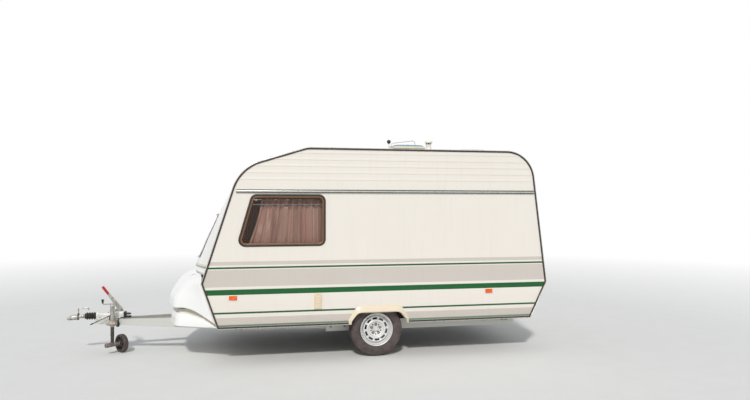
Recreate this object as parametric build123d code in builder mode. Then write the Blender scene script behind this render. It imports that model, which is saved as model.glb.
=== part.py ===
from build123d import *
import os
from math import atan2, cos, degrees, hypot, radians, sin

os.makedirs("parts", exist_ok=True)

# Single-axle touring caravan, in millimetres, standing on its two road wheels and its jockey wheel.
# X runs from the coupling (-X) to the rear wall (+X), Y from the window side (-Y) to the door side (+Y), Z up.
# The origin lies on the ground, halfway along the overall length.

# Driving dimensions: width, which sets every place that is given in from a side wall
half_w = 1050               # outer face of the side walls from the centre line

# Driving dimensions: running gear
axle_x = 731                # axle behind the origin
tyre_r = 317
tyre_w = 178
rim_r = 181                 # tyre bead seat
rim_flange_r = 196
rim_w = 140                 # between the rim flanges
barrel_t = 7
wheel_inset = 139           # wheel centre plane in from the side wall's face
# half section of the tyre: radius, distance from the centre plane
tyre_section = (
    (rim_r, rim_w / 2 - 1),
    (rim_flange_r + 3, rim_w / 2 - 1),
    (rim_flange_r + 10, rim_w / 2 + 10),
    (252, tyre_w / 2),
    (tyre_r - 24, tyre_w / 2 - 5),
    (tyre_r, tyre_w / 2 - 24),
)
tyre_rounds = (0, 4, 8, 60, 18, 14)
# outer face of the wheel disc: radius, distance outwards from the centre plane
disc_section = ((rim_r - 5, 6), (156, 12), (144, 38), (112, 42), (92, 22), (36, 22))
disc_t = 6
bolt_circle_r = 56
wheel_bolt_r = 10
wheel_bolt_h = 9
bolt_count = 5
hub_cap_r = 32
hub_cap_h = 24
drum_r = 112
drum_inner = 50             # drum's inner face behind the centre plane
drum_step = 24              # drum's outer face behind the disc
stub_r = 20
stub_bore_r = 20.3
stub_set = 8                # stub's end behind the centre plane
arm_lead = 165              # suspension tube ahead of the wheel centre
arm_rise = 20
arm_t = 24
arm_gap = 12                # between the arm and the tyre
arm_half_h = (44, 34)       # at the tube, at the stub
axle_tube_r = 48

# Driving dimensions: body outline in side view, distances from the axle
foot_z = 404                # underside of the walls and floor
front_foot_reach = 1841
kink_reach = 2018           # foremost point of the side walls
kink_z = 915
brow_reach = 1599           # corner where the front slope would meet the roof slope
brow_z = 2221
brow_r = 480
knuckle_reach = 831         # front end of the level roof
knuckle_r = 260
kink_r = 12
rear_kink_r = 14
roof_z = 2460
rear_top_reach = 1947
rear_top_r = 362
rear_kink_reach = 2149
rear_kink_z = 844
rear_foot_reach = 1935
wall_t = 30
roof_t = 35
floor_t = 40
front_join_z = 2020         # roof panel meets the bowed front panel
rear_join_z = 2130          # roof panel meets the rear wall

# Driving dimensions: bowed front panel and the ledge under it
bow_base_z = 1030
bow_stations = ((bow_base_z, 153), (1360, 124), (1700, 75), (front_join_z, 4))   # height, bulge at the middle
ledge_t = 22
ledge_bulge = 140

# Driving dimensions: wheel arches
arch_x = 15                 # arch centre behind the axle
arch_lip = ((-334, -10), (-328, 34), (-252, 126), (252, 126), (328, 34), (334, -10))   # across, above the foot
arch_lip_rounds = (0, 40, 80, 80, 40, 0)
spat_edge = ((-368, 0), (-362, 55), (-266, 213), (266, 213), (362, 55), (368, 0))      # across, above the foot
spat_edge_rounds = (0, 50, 115, 115, 50, 0)
spat_proud = 42
spat_taper = 24
wheel_box_len = 780
wheel_box_w = 232
wheel_box_top_z = 716
wheel_box_t = 8

# Driving dimensions: windows
side_window_low_z = 1332
side_window_top_z = 1911
side_window_rear = 628      # ahead of the axle
side_window_top_front = 1459
side_window_low_front = 1626
side_window_r = 70
front_window_inset = 630    # window's ends in from the side wall's face
front_window_z = (1165, 1680)
front_window_r = 60
rear_window_inset = 450
rear_window_z = (1300, 1850)
rear_window_r = 80
seal_w = 26
seal_proud = 8
pane_t = 5
pane_sunk = 3

# Driving dimensions: curtains
curtain_t = 34
curtain_gap = 22            # between the wall and the curtain
curtain_below = 14          # below the window's lower edge
curtain_above = 22
curtain_drawn = 150         # window left clear at the front
side_curtain_top_z = 1798
rod_r = 4

# Driving dimensions: door on the far side
door_front = 520            # hinge edge behind the axle
door_w = 590
door_low_z = 452
door_top_z = 1900
door_gap = 6
door_r = 45
door_pane = (330, 420)      # width, height
door_pane_z = 1560          # pane centre height
hinge_proud = 12
hinge_r = 7
hinge_len = 90
hinge_heights = (560, 1180, 1790)
handle_z = 1120

# Driving dimensions: trim and small body fittings
trim_w = 20
trim_proud = 7
rail_z = (1930, 1978)
rail_front = 1640
rail_rear = 1986
rail_proud = 12
marker_size = (98, 57)
marker_z = 748
marker_places = (-1671, 1389)    # behind the axle
marker_proud = 12
vent_size = (89, 174)
vent_x = -713               # behind the axle
vent_z = 687
vent_proud = 35
lamp_size = (92, 155)
lamp_inset = 102
lamp_z = 972
lamp_proud = 40
plate_size = (520, 112)
plate_z = 930
plate_t = 4

# Driving dimensions: gas locker on the drawbar
locker_top_z = 1000
locker_wall = 12
# height, foremost face ahead of the axle, how far its corners lie behind that, corners and rear edge in from
# the side wall's face, gap to the body
lid_stations = (
    (404, 2400, 90, 350, 30, 8),
    (604, 2437, 95, 335, 26, 8),
    (710, 2426, 95, 332, 26, 8),
    (808, 2372, 92, 326, 27, 8),
    (901, 2300, 86, 300, 29, 8),
    (973, 2158, 72, 225, 36, 17),
    (1000, 2092, 58, 190, 40, 31),
)
lid_middle = 0.36           # share of the front that is level across the middle
lid_corner_r = 200
lid_bow_r = 1500
tub_stations = ((404, 2352, 90, 390, 72, 6), (604, 2402, 92, 375, 72, 6))
lip_stations = ((404, 2418, 92, 322, 66, 6), (471, 2404, 90, 326, 66, 6), (560, 2380, 88, 332, 66, 6))
# lower edge of the lid and upper edge of the base, behind the locker's reach and above the foot
lid_edge = (
    (0, 200),
    (120, 212),
    (222, 217),
    (338, 187),
    (395, 150),
    (452, 107),
    (498, 69),
    (560, 14),
)
base_edge = (
    (0, 132),
    (55, 137),
    (137, 150),
    (222, 145),
    (281, 133),
    (396, 102),
    (452, 80),
    (506, 34),
    (548, 2),
)
locker_reach = 2418
locker_margin = 100
lid_hinge_lead = 39         # hinge pins ahead of the lid's top edge, clear of the bow's foot
lid_hinge_drop = 40
lid_arm_inset = 530         # hinge arms on the front wall, in from the side wall's face
lid_arm_t = 8
lid_arm_h = 30
lid_pin_r = 6
lid_pin_len = 40
lid_pin_play = 0.3          # round the pin
lid_pin_end = 5             # past each end of the pin
lid_lug_r = 12
lid_notch = 11              # free on each side of an arm

# Driving dimensions: chassis
rail_depth = 148
rail_w = 50
steel_t = 4
chassis_front = 560         # ahead of the axle
chassis_rear = 1890
chassis_inset = 430         # rail centre in from the side wall's face
drawbar_rear = 150          # behind the axle
drawbar_bend = 300          # ahead of the axle
drawbar_tip = 3312
drawbar_tip_y = 35
drawbar_depth_tip = 60
drawbar_depth = 128
drawbar_taper_reach = 1750  # full depth behind this
cross_tube = 50
cross_places = (900, 1800)    # behind the axle

# Driving dimensions: overrun coupling
housing_front = 3306
housing_rear = 2900
housing_w = 104
housing_z = (404, 482)
shaft_z = 437
shaft_r = 23
bellows_front = 3436
bellows_r = 46
bellows_root_r = 33
bellows_ribs = 4
gaiter_clear = 20           # bare shaft between the gaiter and the head
head_tip = 3645
head_w = 72
head_z = (400, 454)          # nose, over the ball
neck_z = (419, 453)
neck_w = 50
nose_rear = 3520
nose_r = 30
housing_round = 18
socket_r = 25.4
socket_depth = 34
socket_reach = 3602
loop_set = (130, 248)       # carrying loop's two ends behind the head's tip
loop_z = 542
loop_r = 8
loop_hook = 30
lever_foot = (3030, 482)    # ahead of the axle, height
lever_tip = (3245, 790)
lever_y = 30
lever_w = (56, 28)          # at the foot, at the grip
lever_t = 14
lever_rise = 17             # foot of the lever's centre line above the housing
lever_base = (80, 22)       # length, height of the block that it turns on
grip_len = 118
grip_r = 18

# Driving dimensions: jockey wheel
leg_reach = 3100
leg_y = -151
outer_r = 26
outer_bore_r = 22.5
outer_z = (320, 585)
outer_cap_h = 8
inner_r = 21
inner_bore_r = 10.5
inner_z = (229, 500)
clamp_z = (334, 396)
clamp_t = 14
clamp_neck_w = 48
crank_z = 600
crank_len = 112
crank_r = 6
knob_h = 48
# handle rod of the clamp: ahead of the axle, height
clamp_rod = ((3134, 452), (3350, 352))
clamp_rod_y = -128
clamp_rod_r = 5
clamp_lug = (16, 10, 62)    # length, width, height
castor_turn = -50           # castor angle at rest
castor_trail = 36           # hub behind the leg's centre line
castor_r = 20
collar_r = 23
collar_z = (216, 228)
stem_r = 10
stem_h = 44
hub_r = 26
hub_out = 110               # hub barrel's near end from the leg's centre line
hub_gap = 6                 # hub barrel to wheel
jockey_r = 110
jockey_w = 58
jockey_round = 14
jockey_out = 103            # wheel's middle plane from the leg's centre line, on the far side
jockey_bore_r = 8
jockey_pin_r = 7.4
jockey_nut = (16, 10)       # radius, thickness

# Driving dimensions: lead and plug for the towing vehicle's socket, held on the near drawbar rail
lead_r = 6
# behind the plug's centre, across, height
lead_route = ((78, -52, 420), (78, -84, 420), (24, -101, 416), (0, -129, 408), (0, -129, 382))
lead_rounds = (20, 58, 15)
plug_reach = 3041
plug_r = 19
plug_z = (316, 382)

# Driving dimensions: corner steadies
steady_places = ((-1250, -1), (1330, 1))   # pivot behind the axle, way the folded leg points
steady_inset = 250
steady_len = 400
steady_w = 40
steady_pivot_z = 358
steady_pin_r = 6
steady_ear_t = 5
steady_gap = 3
steady_foot = (90, 70, 6)
steady_plate = (90, 86, 6)
steady_ear_w = 44
steady_ear_below = 18       # ears' lower end under the pivot
steady_half_h = (16, 12)    # leg's half height at the pivot, at its end
steady_heel = 14            # leg's end behind the pivot

# Driving dimensions: roof fittings
hatch_x = 617               # hatch centre behind the axle
hatch_size = 430
hatch_hole = 380
hatch_frame_h = 84
hatch_lid_h = 58
hatch_gap = 3
hatch_hinge_y = 120
hatch_pin_r = 4
hatch_ear_w = 50
hatch_ear_h = 36
hatch_skin = 6
bail_r = 7
bail_h = 62
bail_half = 182             # bail's feet from the hatch's middle
bail_bend_r = 34
skylight_x = 1520
skylight_size = 420
skylight_h = 104
flue_at = (728, 350)        # behind the axle, in from the near wall's face
flue_r = 36
flue_h = 118
flue_cap_r = 48
flue_cap_h = 22
mast_at = (312, 750)
mast_r = 9
mast_h = 160
mast_ball_r = 26

# Worked-out places
inner_y = half_w - wall_t
wheel_y = half_w - wheel_inset
front_window_half_w = half_w - front_window_inset
rear_window_half_w = half_w - rear_window_inset
lamp_y = half_w - lamp_inset
steady_y = half_w - steady_inset
chassis_y = half_w - chassis_inset
lid_arm_y = half_w - lid_arm_inset
flue_y = flue_at[1] - half_w
mast_y = mast_at[1] - half_w
floor_top = foot_z + floor_t
lid_hinge_reach = lid_stations[-1][1] + lid_hinge_lead
loop_reach = [head_tip - back for back in loop_set]
front_foot_x = axle_x - front_foot_reach
kink_x = axle_x - kink_reach
brow_x = axle_x - brow_reach
knuckle_x = axle_x - knuckle_reach
rear_top_x = axle_x + rear_top_reach
rear_kink_x = axle_x + rear_kink_reach
rear_foot_x = axle_x + rear_foot_reach
far = 4000                  # beyond every piece, for cutting shapes


def side_plane(y):
    """Upright plane at one Y, with X to the right, facing -Y: an extrusion runs from it towards -Y."""
    return Plane.XZ.offset(-y)


def cross_plane(x):
    """Upright plane across the caravan at one X, with Y to the right, facing +X."""
    return Plane.YZ.offset(x)


def outline(points, rounds):
    """A flat face through the points, each corner rounded by its own radius."""
    with BuildSketch() as face:
        with BuildLine():
            FilletPolyline(*points, radius=list(rounds), close=True)
        make_face()
    return face.sketch


def front_line_x(z):
    """X of the straight front edge of the side walls, above the kink."""
    return kink_x + (brow_x - kink_x) * (z - kink_z) / (brow_z - kink_z)


def lower_front_x(z):
    """X of the front edge of the side walls, below the kink."""
    return front_foot_x + (kink_x - front_foot_x) * (z - foot_z) / (kink_z - foot_z)


def ring(outer_inset, inner_inset):
    """The band of the body's side view between two insets from its outline."""
    outer = offset(profile, amount=-outer_inset, mode=Mode.PRIVATE) if outer_inset else profile
    return outer - offset(profile, amount=-inner_inset, mode=Mode.PRIVATE)


profile = outline(
    (
        (front_foot_x, foot_z),
        (kink_x, kink_z),
        (brow_x, brow_z),
        (knuckle_x, roof_z),
        (rear_top_x, roof_z),
        (rear_kink_x, rear_kink_z),
        (rear_foot_x, foot_z),
    ),
    (0, kink_r, brow_r, knuckle_r, rear_top_r, rear_kink_r, 0),
)
arch_opening = outline(
    [(axle_x + arch_x + across, foot_z + up) for across, up in arch_lip],
    arch_lip_rounds,
)
spat_outline = outline(
    [(axle_x + arch_x + across, foot_z + up) for across, up in spat_edge],
    spat_edge_rounds,
)
side_window = outline(
    (
        (axle_x - side_window_rear, side_window_low_z),
        (axle_x - side_window_rear, side_window_top_z),
        (axle_x - side_window_top_front, side_window_top_z),
        (axle_x - side_window_low_front, side_window_low_z),
    ),
    (side_window_r,) * 4,
)
side_pane = offset(side_window, amount=-seal_w)

# Regions of the side view that split the shell into its panels
region_roof = outline(
    ((-far, front_join_z), (0, front_join_z), (0, rear_join_z), (far, rear_join_z), (far, far), (-far, far)),
    (0,) * 6,
)
ledge_z = bow_base_z - ledge_t
region_front = outline(((-far, floor_top), (0, floor_top), (0, ledge_z), (-far, ledge_z)), (0,) * 4)
region_rear = outline(((0, floor_top), (far, floor_top), (far, rear_join_z), (0, rear_join_z)), (0,) * 4)

# Side walls: one sandwich panel each side, cut for its window, wheel arch and, on the far side, the door
door_x0 = axle_x + door_front
door_mid_x = door_x0 + door_w / 2
door_mid_z = (door_low_z + door_top_z) / 2
door_h = door_top_z - door_low_z
walls = {}
for side, y_in in (("left", -inner_y), ("right", half_w)):
    with BuildPart() as wall:
        with BuildSketch(side_plane(y_in)):
            add(profile)
            add(arch_opening, mode=Mode.SUBTRACT)
            add(side_window, mode=Mode.SUBTRACT)
            if side == "right":
                with Locations((door_mid_x, door_mid_z)):
                    RectangleRounded(door_w, door_h, door_r, mode=Mode.SUBTRACT)
        extrude(amount=wall_t)
    walls[side] = wall

# Roof panel, from the front panel's top round to the rear wall
hatch_mid_x = axle_x + hatch_x
with BuildPart() as roof:
    with BuildSketch(side_plane(inner_y)):
        add(ring(0, roof_t))
        add(region_roof, mode=Mode.INTERSECT)
    extrude(amount=2 * inner_y)
    with BuildSketch(Plane.XY.offset(roof_z - 2 * roof_t)):
        with Locations((hatch_mid_x, 0)):
            RectangleRounded(hatch_hole, hatch_hole, 40)
    extrude(amount=3 * roof_t, mode=Mode.SUBTRACT)

# Rear wall, with its window
rear_window_h = rear_window_z[1] - rear_window_z[0]
rear_window_mid_z = (rear_window_z[1] + rear_window_z[0]) / 2
with BuildPart() as rear_wall:
    with BuildSketch(side_plane(inner_y)):
        add(ring(0, wall_t))
        add(region_rear, mode=Mode.INTERSECT)
    extrude(amount=2 * inner_y)
    with BuildSketch(cross_plane(0)):
        with Locations((0, rear_window_mid_z)):
            RectangleRounded(2 * rear_window_half_w, rear_window_h, rear_window_r)
    extrude(amount=far, mode=Mode.SUBTRACT)

# Lower front wall with the ledge that the bowed panel stands on
with BuildPart() as front_wall:
    with BuildSketch(side_plane(inner_y)):
        add(ring(0, wall_t))
        add(region_front, mode=Mode.INTERSECT)
    extrude(amount=2 * inner_y)
    ledge_x = front_line_x(bow_base_z)
    with BuildSketch(Plane.XY.offset(ledge_z)):
        with BuildLine():
            ThreePointArc((ledge_x, -inner_y), (ledge_x - ledge_bulge, 0), (ledge_x, inner_y))
            Polyline(
                (ledge_x, inner_y),
                (ledge_x + wall_t, inner_y),
                (ledge_x + wall_t, -inner_y),
                (ledge_x, -inner_y),
            )
        make_face()
    extrude(amount=ledge_t)
    arm_x = axle_x - lid_hinge_reach
    arm_z = locker_top_z - lid_hinge_drop
    for y in (-lid_arm_y, lid_arm_y):
        with BuildSketch(side_plane(y + lid_arm_t / 2)):
            with Locations(((arm_x + kink_x + wall_t) / 2, arm_z - lid_arm_h / 2 + lid_pin_r)):
                Rectangle(kink_x + wall_t - arm_x, lid_arm_h)
        extrude(amount=lid_arm_t)
        with BuildSketch(side_plane(y + lid_pin_len)):
            with Locations((arm_x, arm_z)):
                Circle(lid_pin_r)
        extrude(amount=2 * lid_pin_len)


def bow_shell(outset, thick):
    """The bowed front panel's surface as a solid, its outer skin set out by one size, as thick as the other."""
    with BuildPart() as shell:
        for z, bulge in bow_stations:
            edge_x = front_line_x(z) - outset
            back_x = edge_x + thick
            with BuildSketch(Plane.XY.offset(z)):
                with BuildLine():
                    ThreePointArc((edge_x, -inner_y), (edge_x - bulge, 0), (edge_x, inner_y))
                    Line((edge_x, inner_y), (back_x, inner_y))
                    ThreePointArc((back_x, inner_y), (back_x - bulge, 0), (back_x, -inner_y))
                    Line((back_x, -inner_y), (edge_x, -inner_y))
                make_face()
        loft(ruled=True)
    return shell.part


front_window_h = front_window_z[1] - front_window_z[0]
front_window_mid_z = (front_window_z[1] + front_window_z[0]) / 2
with BuildPart() as front_panel:
    add(bow_shell(0, wall_t))
    with BuildSketch(cross_plane(-far)):
        with Locations((0, front_window_mid_z)):
            RectangleRounded(2 * front_window_half_w, front_window_h, front_window_r)
    extrude(amount=far, mode=Mode.SUBTRACT)

# Floor between the walls, cut away over the wheels
wheel_box_x = axle_x + arch_x
with BuildPart() as floor:
    with BuildSketch(side_plane(inner_y)):
        add(profile)
        with Locations((0, foot_z + floor_t / 2)):
            Rectangle(2 * far, floor_t, mode=Mode.INTERSECT)
    extrude(amount=2 * inner_y)
    with BuildSketch(Plane.XY.offset(foot_z)):
        with Locations((wheel_box_x, inner_y - wheel_box_w / 2), (wheel_box_x, wheel_box_w / 2 - inner_y)):
            Rectangle(wheel_box_len, wheel_box_w)
    extrude(amount=floor_t, mode=Mode.SUBTRACT)

# Wheel boxes: open below and towards the wall
with BuildPart() as wheel_boxes:
    box_h = wheel_box_top_z - foot_z
    outside_y = inner_y - wheel_box_w / 2
    with Locations((wheel_box_x, outside_y, foot_z), (wheel_box_x, -outside_y, foot_z)):
        Box(wheel_box_len, wheel_box_w, box_h, align=(Align.CENTER, Align.CENTER, Align.MIN))
    inside_w = wheel_box_w - wheel_box_t
    inside_y = inner_y - inside_w / 2
    with Locations((wheel_box_x, inside_y, foot_z), (wheel_box_x, -inside_y, foot_z)):
        Box(
            wheel_box_len - 2 * wheel_box_t,
            inside_w,
            box_h - wheel_box_t,
            align=(Align.CENTER, Align.CENTER, Align.MIN),
            mode=Mode.SUBTRACT,
        )

# Wheel arch trims, sloping outwards round each arch
with BuildPart() as wheel_arch_trims:
    with BuildSketch(side_plane(-half_w)):
        add(spat_outline)
    extrude(amount=spat_proud, taper=spat_taper)
    mirror(about=Plane.XZ)
    with BuildSketch(side_plane(far)):
        add(arch_opening)
    extrude(amount=2 * far, mode=Mode.SUBTRACT)

# Dark edge trims round both side walls
with BuildPart() as edge_trims:
    with BuildSketch(side_plane(-half_w)):
        add(ring(0, trim_w))
        add(spat_outline, mode=Mode.SUBTRACT)
    extrude(amount=trim_proud)
    mirror(about=Plane.XZ)

# Drip rails along both sides
with BuildPart() as drip_rails:
    with BuildSketch(side_plane(-half_w)):
        with Locations((axle_x + (rail_rear - rail_front) / 2, (rail_z[0] + rail_z[1]) / 2)):
            Rectangle(rail_front + rail_rear, rail_z[1] - rail_z[0])
    extrude(amount=rail_proud)
    mirror(about=Plane.XZ)

# Side marker lamps, two a side
with BuildPart() as marker_lamps:
    with BuildSketch(side_plane(-half_w)):
        with Locations(*[(axle_x + place, marker_z) for place in marker_places]):
            RectangleRounded(*marker_size, 8)
    extrude(amount=marker_proud, taper=8)
    mirror(about=Plane.XZ)

# Vent cover on the near side
with BuildPart() as vent_cover:
    with BuildSketch(side_plane(-half_w)):
        with Locations((axle_x + vent_x, vent_z)):
            RectangleRounded(*vent_size, 10)
    extrude(amount=vent_proud, taper=8)

# Windows: rubber seals in the wall openings, acrylic panes in the seals
front_hole = Plane.YZ * Pos(0, front_window_mid_z) * RectangleRounded(
    2 * front_window_half_w, front_window_h, front_window_r
)
front_light = Plane.YZ * Pos(0, front_window_mid_z) * RectangleRounded(
    2 * (front_window_half_w - seal_w), front_window_h - 2 * seal_w, front_window_r - seal_w
)
rear_hole = Plane.YZ * Pos(0, rear_window_mid_z) * RectangleRounded(
    2 * rear_window_half_w, rear_window_h, rear_window_r
)
rear_light = Plane.YZ * Pos(0, rear_window_mid_z) * RectangleRounded(
    2 * (rear_window_half_w - seal_w), rear_window_h - 2 * seal_w, rear_window_r - seal_w
)
with BuildPart() as front_seal:
    add(bow_shell(seal_proud, wall_t + seal_proud))
    extrude(front_hole, amount=-far, mode=Mode.INTERSECT)
    extrude(front_light, amount=-far, mode=Mode.SUBTRACT)
with BuildPart() as front_pane:
    add(bow_shell(seal_proud - pane_sunk, pane_t))
    extrude(front_light, amount=-far, mode=Mode.INTERSECT)
rear_band_z = rear_window_z[0] - seal_w
rear_band = outline(((0, rear_band_z), (far, rear_band_z), (far, far), (0, far)), (0,) * 4)
with BuildPart() as rear_seal:
    with BuildSketch(side_plane(inner_y)):
        add(ring(-seal_proud, wall_t))
        add(rear_band, mode=Mode.INTERSECT)
    extrude(amount=2 * inner_y)
    extrude(rear_hole, amount=far, mode=Mode.INTERSECT)
    extrude(rear_light, amount=far, mode=Mode.SUBTRACT)
with BuildPart() as rear_pane:
    with BuildSketch(side_plane(inner_y)):
        add(ring(pane_sunk - seal_proud, pane_sunk - seal_proud + pane_t))
        add(rear_band, mode=Mode.INTERSECT)
    extrude(amount=2 * inner_y)
    extrude(rear_light, amount=far, mode=Mode.INTERSECT)
with BuildPart() as window_seals:
    with BuildSketch(side_plane(-inner_y)):
        add(side_window)
        add(side_pane, mode=Mode.SUBTRACT)
    extrude(amount=wall_t + seal_proud)
    mirror(about=Plane.XZ)
    add(front_seal.part)
    add(rear_seal.part)
with BuildPart() as window_panes:
    with BuildSketch(side_plane(-half_w - seal_proud + pane_sunk + pane_t)):
        add(side_pane)
    extrude(amount=pane_t)
    mirror(about=Plane.XZ)
    add(front_pane.part)
    add(rear_pane.part)

# Curtains, each a plain slab behind its window, and the rods that carry them
curtain_low = side_window_low_z - curtain_below
near_front_x = axle_x - side_window_low_front + curtain_drawn
near_rear_x = axle_x - side_window_rear + curtain_above
slab_y = inner_y - curtain_gap
front_curtain_top = front_window_z[1] + 3 * curtain_above
rear_curtain_top = rear_window_z[1] + curtain_above
front_band = outline(
    (
        (-far, front_window_z[0] - curtain_below),
        (0, front_window_z[0] - curtain_below),
        (0, front_curtain_top),
        (-far, front_curtain_top),
    ),
    (0,) * 4,
)
rear_curtain_band = outline(
    (
        (0, rear_window_z[0] - curtain_below),
        (far, rear_window_z[0] - curtain_below),
        (far, rear_curtain_top),
        (0, rear_curtain_top),
    ),
    (0,) * 4,
)
front_curtain_inset = wall_t + curtain_gap
with BuildPart() as curtains:
    with BuildSketch(side_plane(curtain_t - slab_y)):
        with Locations(((near_front_x + near_rear_x) / 2, (curtain_low + side_curtain_top_z) / 2)):
            Rectangle(near_rear_x - near_front_x, side_curtain_top_z - curtain_low)
    extrude(amount=curtain_t)
    mirror(about=Plane.XZ)
    with BuildSketch(side_plane(front_window_half_w + curtain_gap)):
        add(ring(front_curtain_inset, front_curtain_inset + curtain_t))
        add(front_band, mode=Mode.INTERSECT)
    extrude(amount=2 * (front_window_half_w + curtain_gap))
    with BuildSketch(side_plane(rear_window_half_w + curtain_gap)):
        add(ring(front_curtain_inset, front_curtain_inset + curtain_t))
        add(rear_curtain_band, mode=Mode.INTERSECT)
    extrude(amount=2 * (rear_window_half_w + curtain_gap))


def rear_line_x(z):
    """X of the straight rear edge of the side walls, above the kink."""
    return rear_kink_x + (rear_top_x - rear_kink_x) * (z - rear_kink_z) / (roof_z - rear_kink_z)


with BuildPart() as curtain_rods:
    rod_z = side_curtain_top_z + rod_r
    for y, turn in ((-inner_y, 1), (inner_y, -1)):
        with BuildSketch(side_plane(y if turn < 0 else y + curtain_gap + curtain_t)):
            with Locations(((near_front_x + near_rear_x) / 2, rod_z)):
                Rectangle(near_rear_x - near_front_x, 2 * rod_r)
        extrude(amount=curtain_gap + curtain_t)
    front_rod_x = front_line_x(front_curtain_top) + front_curtain_inset + curtain_t
    rear_rod_x = rear_line_x(rear_curtain_top) - front_curtain_inset - curtain_t
    with BuildSketch(side_plane(inner_y)):
        with Locations((front_rod_x, front_curtain_top + rod_r), (rear_rod_x, rear_curtain_top + rod_r)):
            Circle(rod_r)
    extrude(amount=2 * inner_y)

# Door: a panel as thick as the wall, its hinge barrels proud of the skin
hinge_x = door_x0 + door_gap / 2
hinge_y = half_w + hinge_proud
with BuildPart() as door:
    with BuildSketch(side_plane(half_w)):
        with Locations((door_mid_x, door_mid_z)):
            RectangleRounded(door_w - 2 * door_gap, door_h - 2 * door_gap, door_r - door_gap)
        with Locations((door_mid_x, door_pane_z)):
            RectangleRounded(*door_pane, 45, mode=Mode.SUBTRACT)
    extrude(amount=wall_t)
    for z in hinge_heights:
        with BuildSketch(Plane.XY.offset(z - hinge_len / 2)):
            with Locations((hinge_x, hinge_y)):
                Circle(hinge_r)
            with Locations((hinge_x + 20, half_w + 3)):
                Rectangle(32, 6)
            with Locations((hinge_x + 5, (half_w + hinge_y) / 2)):
                Rectangle(6, hinge_proud)
        extrude(amount=hinge_len)
    with Locations((door_x0 + door_w - 70, half_w + 9, handle_z)):
        Box(56, 18, 130)
    with Locations((door_x0 + door_w - 70, half_w + 24, handle_z + 10)):
        Box(26, 12, 84)
with BuildPart() as door_window:
    with BuildSketch(side_plane(half_w - 4)):
        with Locations((door_mid_x, door_pane_z)):
            RectangleRounded(*door_pane, 45)
    extrude(amount=pane_t)

# Tail lamps and the blank plate, on the plane of the rear wall
rear_plane = Plane(
    origin=(rear_kink_x, 0, rear_kink_z),
    x_dir=(0, 1, 0),
    z_dir=(roof_z - rear_kink_z, 0, rear_kink_x - rear_top_x),
)
with BuildPart() as tail_lamps:
    with BuildSketch(rear_plane):
        with Locations((-lamp_y, lamp_z - rear_kink_z), (lamp_y, lamp_z - rear_kink_z)):
            RectangleRounded(*lamp_size, 10)
    extrude(amount=lamp_proud, taper=6)
with BuildPart() as number_plate:
    with BuildSketch(rear_plane):
        with Locations((0, plate_z - rear_kink_z)):
            RectangleRounded(*plate_size, 8)
    extrude(amount=plate_t)


def locker_form(stations):
    """A locker shape lofted through its stations, bowed in front, its rear following the front wall."""
    with BuildPart() as form:
        for z, reach, bow, front_in, rear_in, gap in stations:
            front_x = axle_x - reach
            rear_x = (lower_front_x(z) if z < kink_z else front_line_x(z)) - gap
            front_half = half_w - front_in
            rear_half = half_w - rear_in
            with BuildSketch(Plane.XY.offset(z)):
                with BuildLine():
                    FilletPolyline(
                        (rear_x, -rear_half),
                        (front_x + bow, -front_half),
                        (front_x, -lid_middle * front_half),
                        (front_x, lid_middle * front_half),
                        (front_x + bow, front_half),
                        (rear_x, rear_half),
                        radius=[0, lid_corner_r, lid_bow_r, lid_bow_r, lid_corner_r, 0],
                        close=True,
                    )
                make_face()
        loft(ruled=True)
    return form.part


def hollowed(stations, lower):
    """Stations for the hollow of a locker shape, set in by its wall, lowered, and running out behind."""
    return [
        (z - lower, reach - locker_wall, bow, front_in + locker_wall, rear_in + locker_wall, gap - locker_wall)
        for z, reach, bow, front_in, rear_in, gap in stations
    ]


def edge_cutter(edge, to_z):
    """The side view of what lies between a swept edge of the locker and a height, right across it."""
    front = axle_x - locker_reach
    ahead = (front - locker_margin, foot_z + edge[0][1])
    behind = (front + 2 * locker_margin + edge[-1][0], foot_z + edge[-1][1])
    swept = [(front + back, foot_z + up) for back, up in edge]
    corners = (ahead, *swept, behind, (behind[0], to_z), (ahead[0], to_z))
    return outline(corners, (0,) * len(corners))


# Gas locker lid: a thin shell, open below and towards the body, its lower edge sweeping down to the rear
lid_top = lid_stations[-1]
lid_hinge_x = axle_x - lid_hinge_reach
lid_hinge_z = locker_top_z - lid_hinge_drop
with BuildPart() as locker_lid:
    add(locker_form(lid_stations))
    add(locker_form(hollowed(lid_stations, locker_wall)), mode=Mode.SUBTRACT)
    with BuildSketch(side_plane(far)):
        add(edge_cutter(lid_edge, 0))
    extrude(amount=2 * far, mode=Mode.SUBTRACT)
    notch_x = (lid_hinge_x - lid_lug_r + kink_x) / 2
    notch_len = kink_x - lid_hinge_x + lid_lug_r + 2 * lid_top[-1]
    with Locations((notch_x, -lid_arm_y, locker_top_z), (notch_x, lid_arm_y, locker_top_z)):
        Box(notch_len, lid_arm_t + 2 * lid_notch, 2 * (lid_hinge_drop + locker_wall), mode=Mode.SUBTRACT)
    lug_out = lid_arm_y + lid_arm_t / 2 + lid_notch
    for y in (lug_out + lid_pin_len / 2, -lug_out):
        with BuildSketch(side_plane(y)):
            with Locations((lid_hinge_x, lid_hinge_z)):
                Circle(lid_lug_r)
        extrude(amount=lid_pin_len / 2)
    for y in (lid_arm_y, -lid_arm_y):
        with BuildSketch(side_plane(y + lid_pin_len + lid_pin_end)):
            with Locations((lid_hinge_x, lid_hinge_z)):
                Circle(lid_pin_r + lid_pin_play)
        extrude(amount=2 * (lid_pin_len + lid_pin_end), mode=Mode.SUBTRACT)

# Gas locker base: floor, inner tub and the flared lip in front of it
with BuildPart() as locker_lip:
    add(locker_form(lip_stations))
    with BuildSketch(side_plane(far)):
        add(edge_cutter(base_edge, locker_top_z))
    extrude(amount=2 * far, mode=Mode.SUBTRACT)
tub_hollow = hollowed(((foot_z + locker_wall, *tub_stations[0][1:]), tub_stations[1]), 0)
with BuildPart() as locker_base:
    add(locker_form(tub_stations))
    add(locker_lip.part)
    add(locker_form(tub_hollow), mode=Mode.SUBTRACT)

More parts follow.
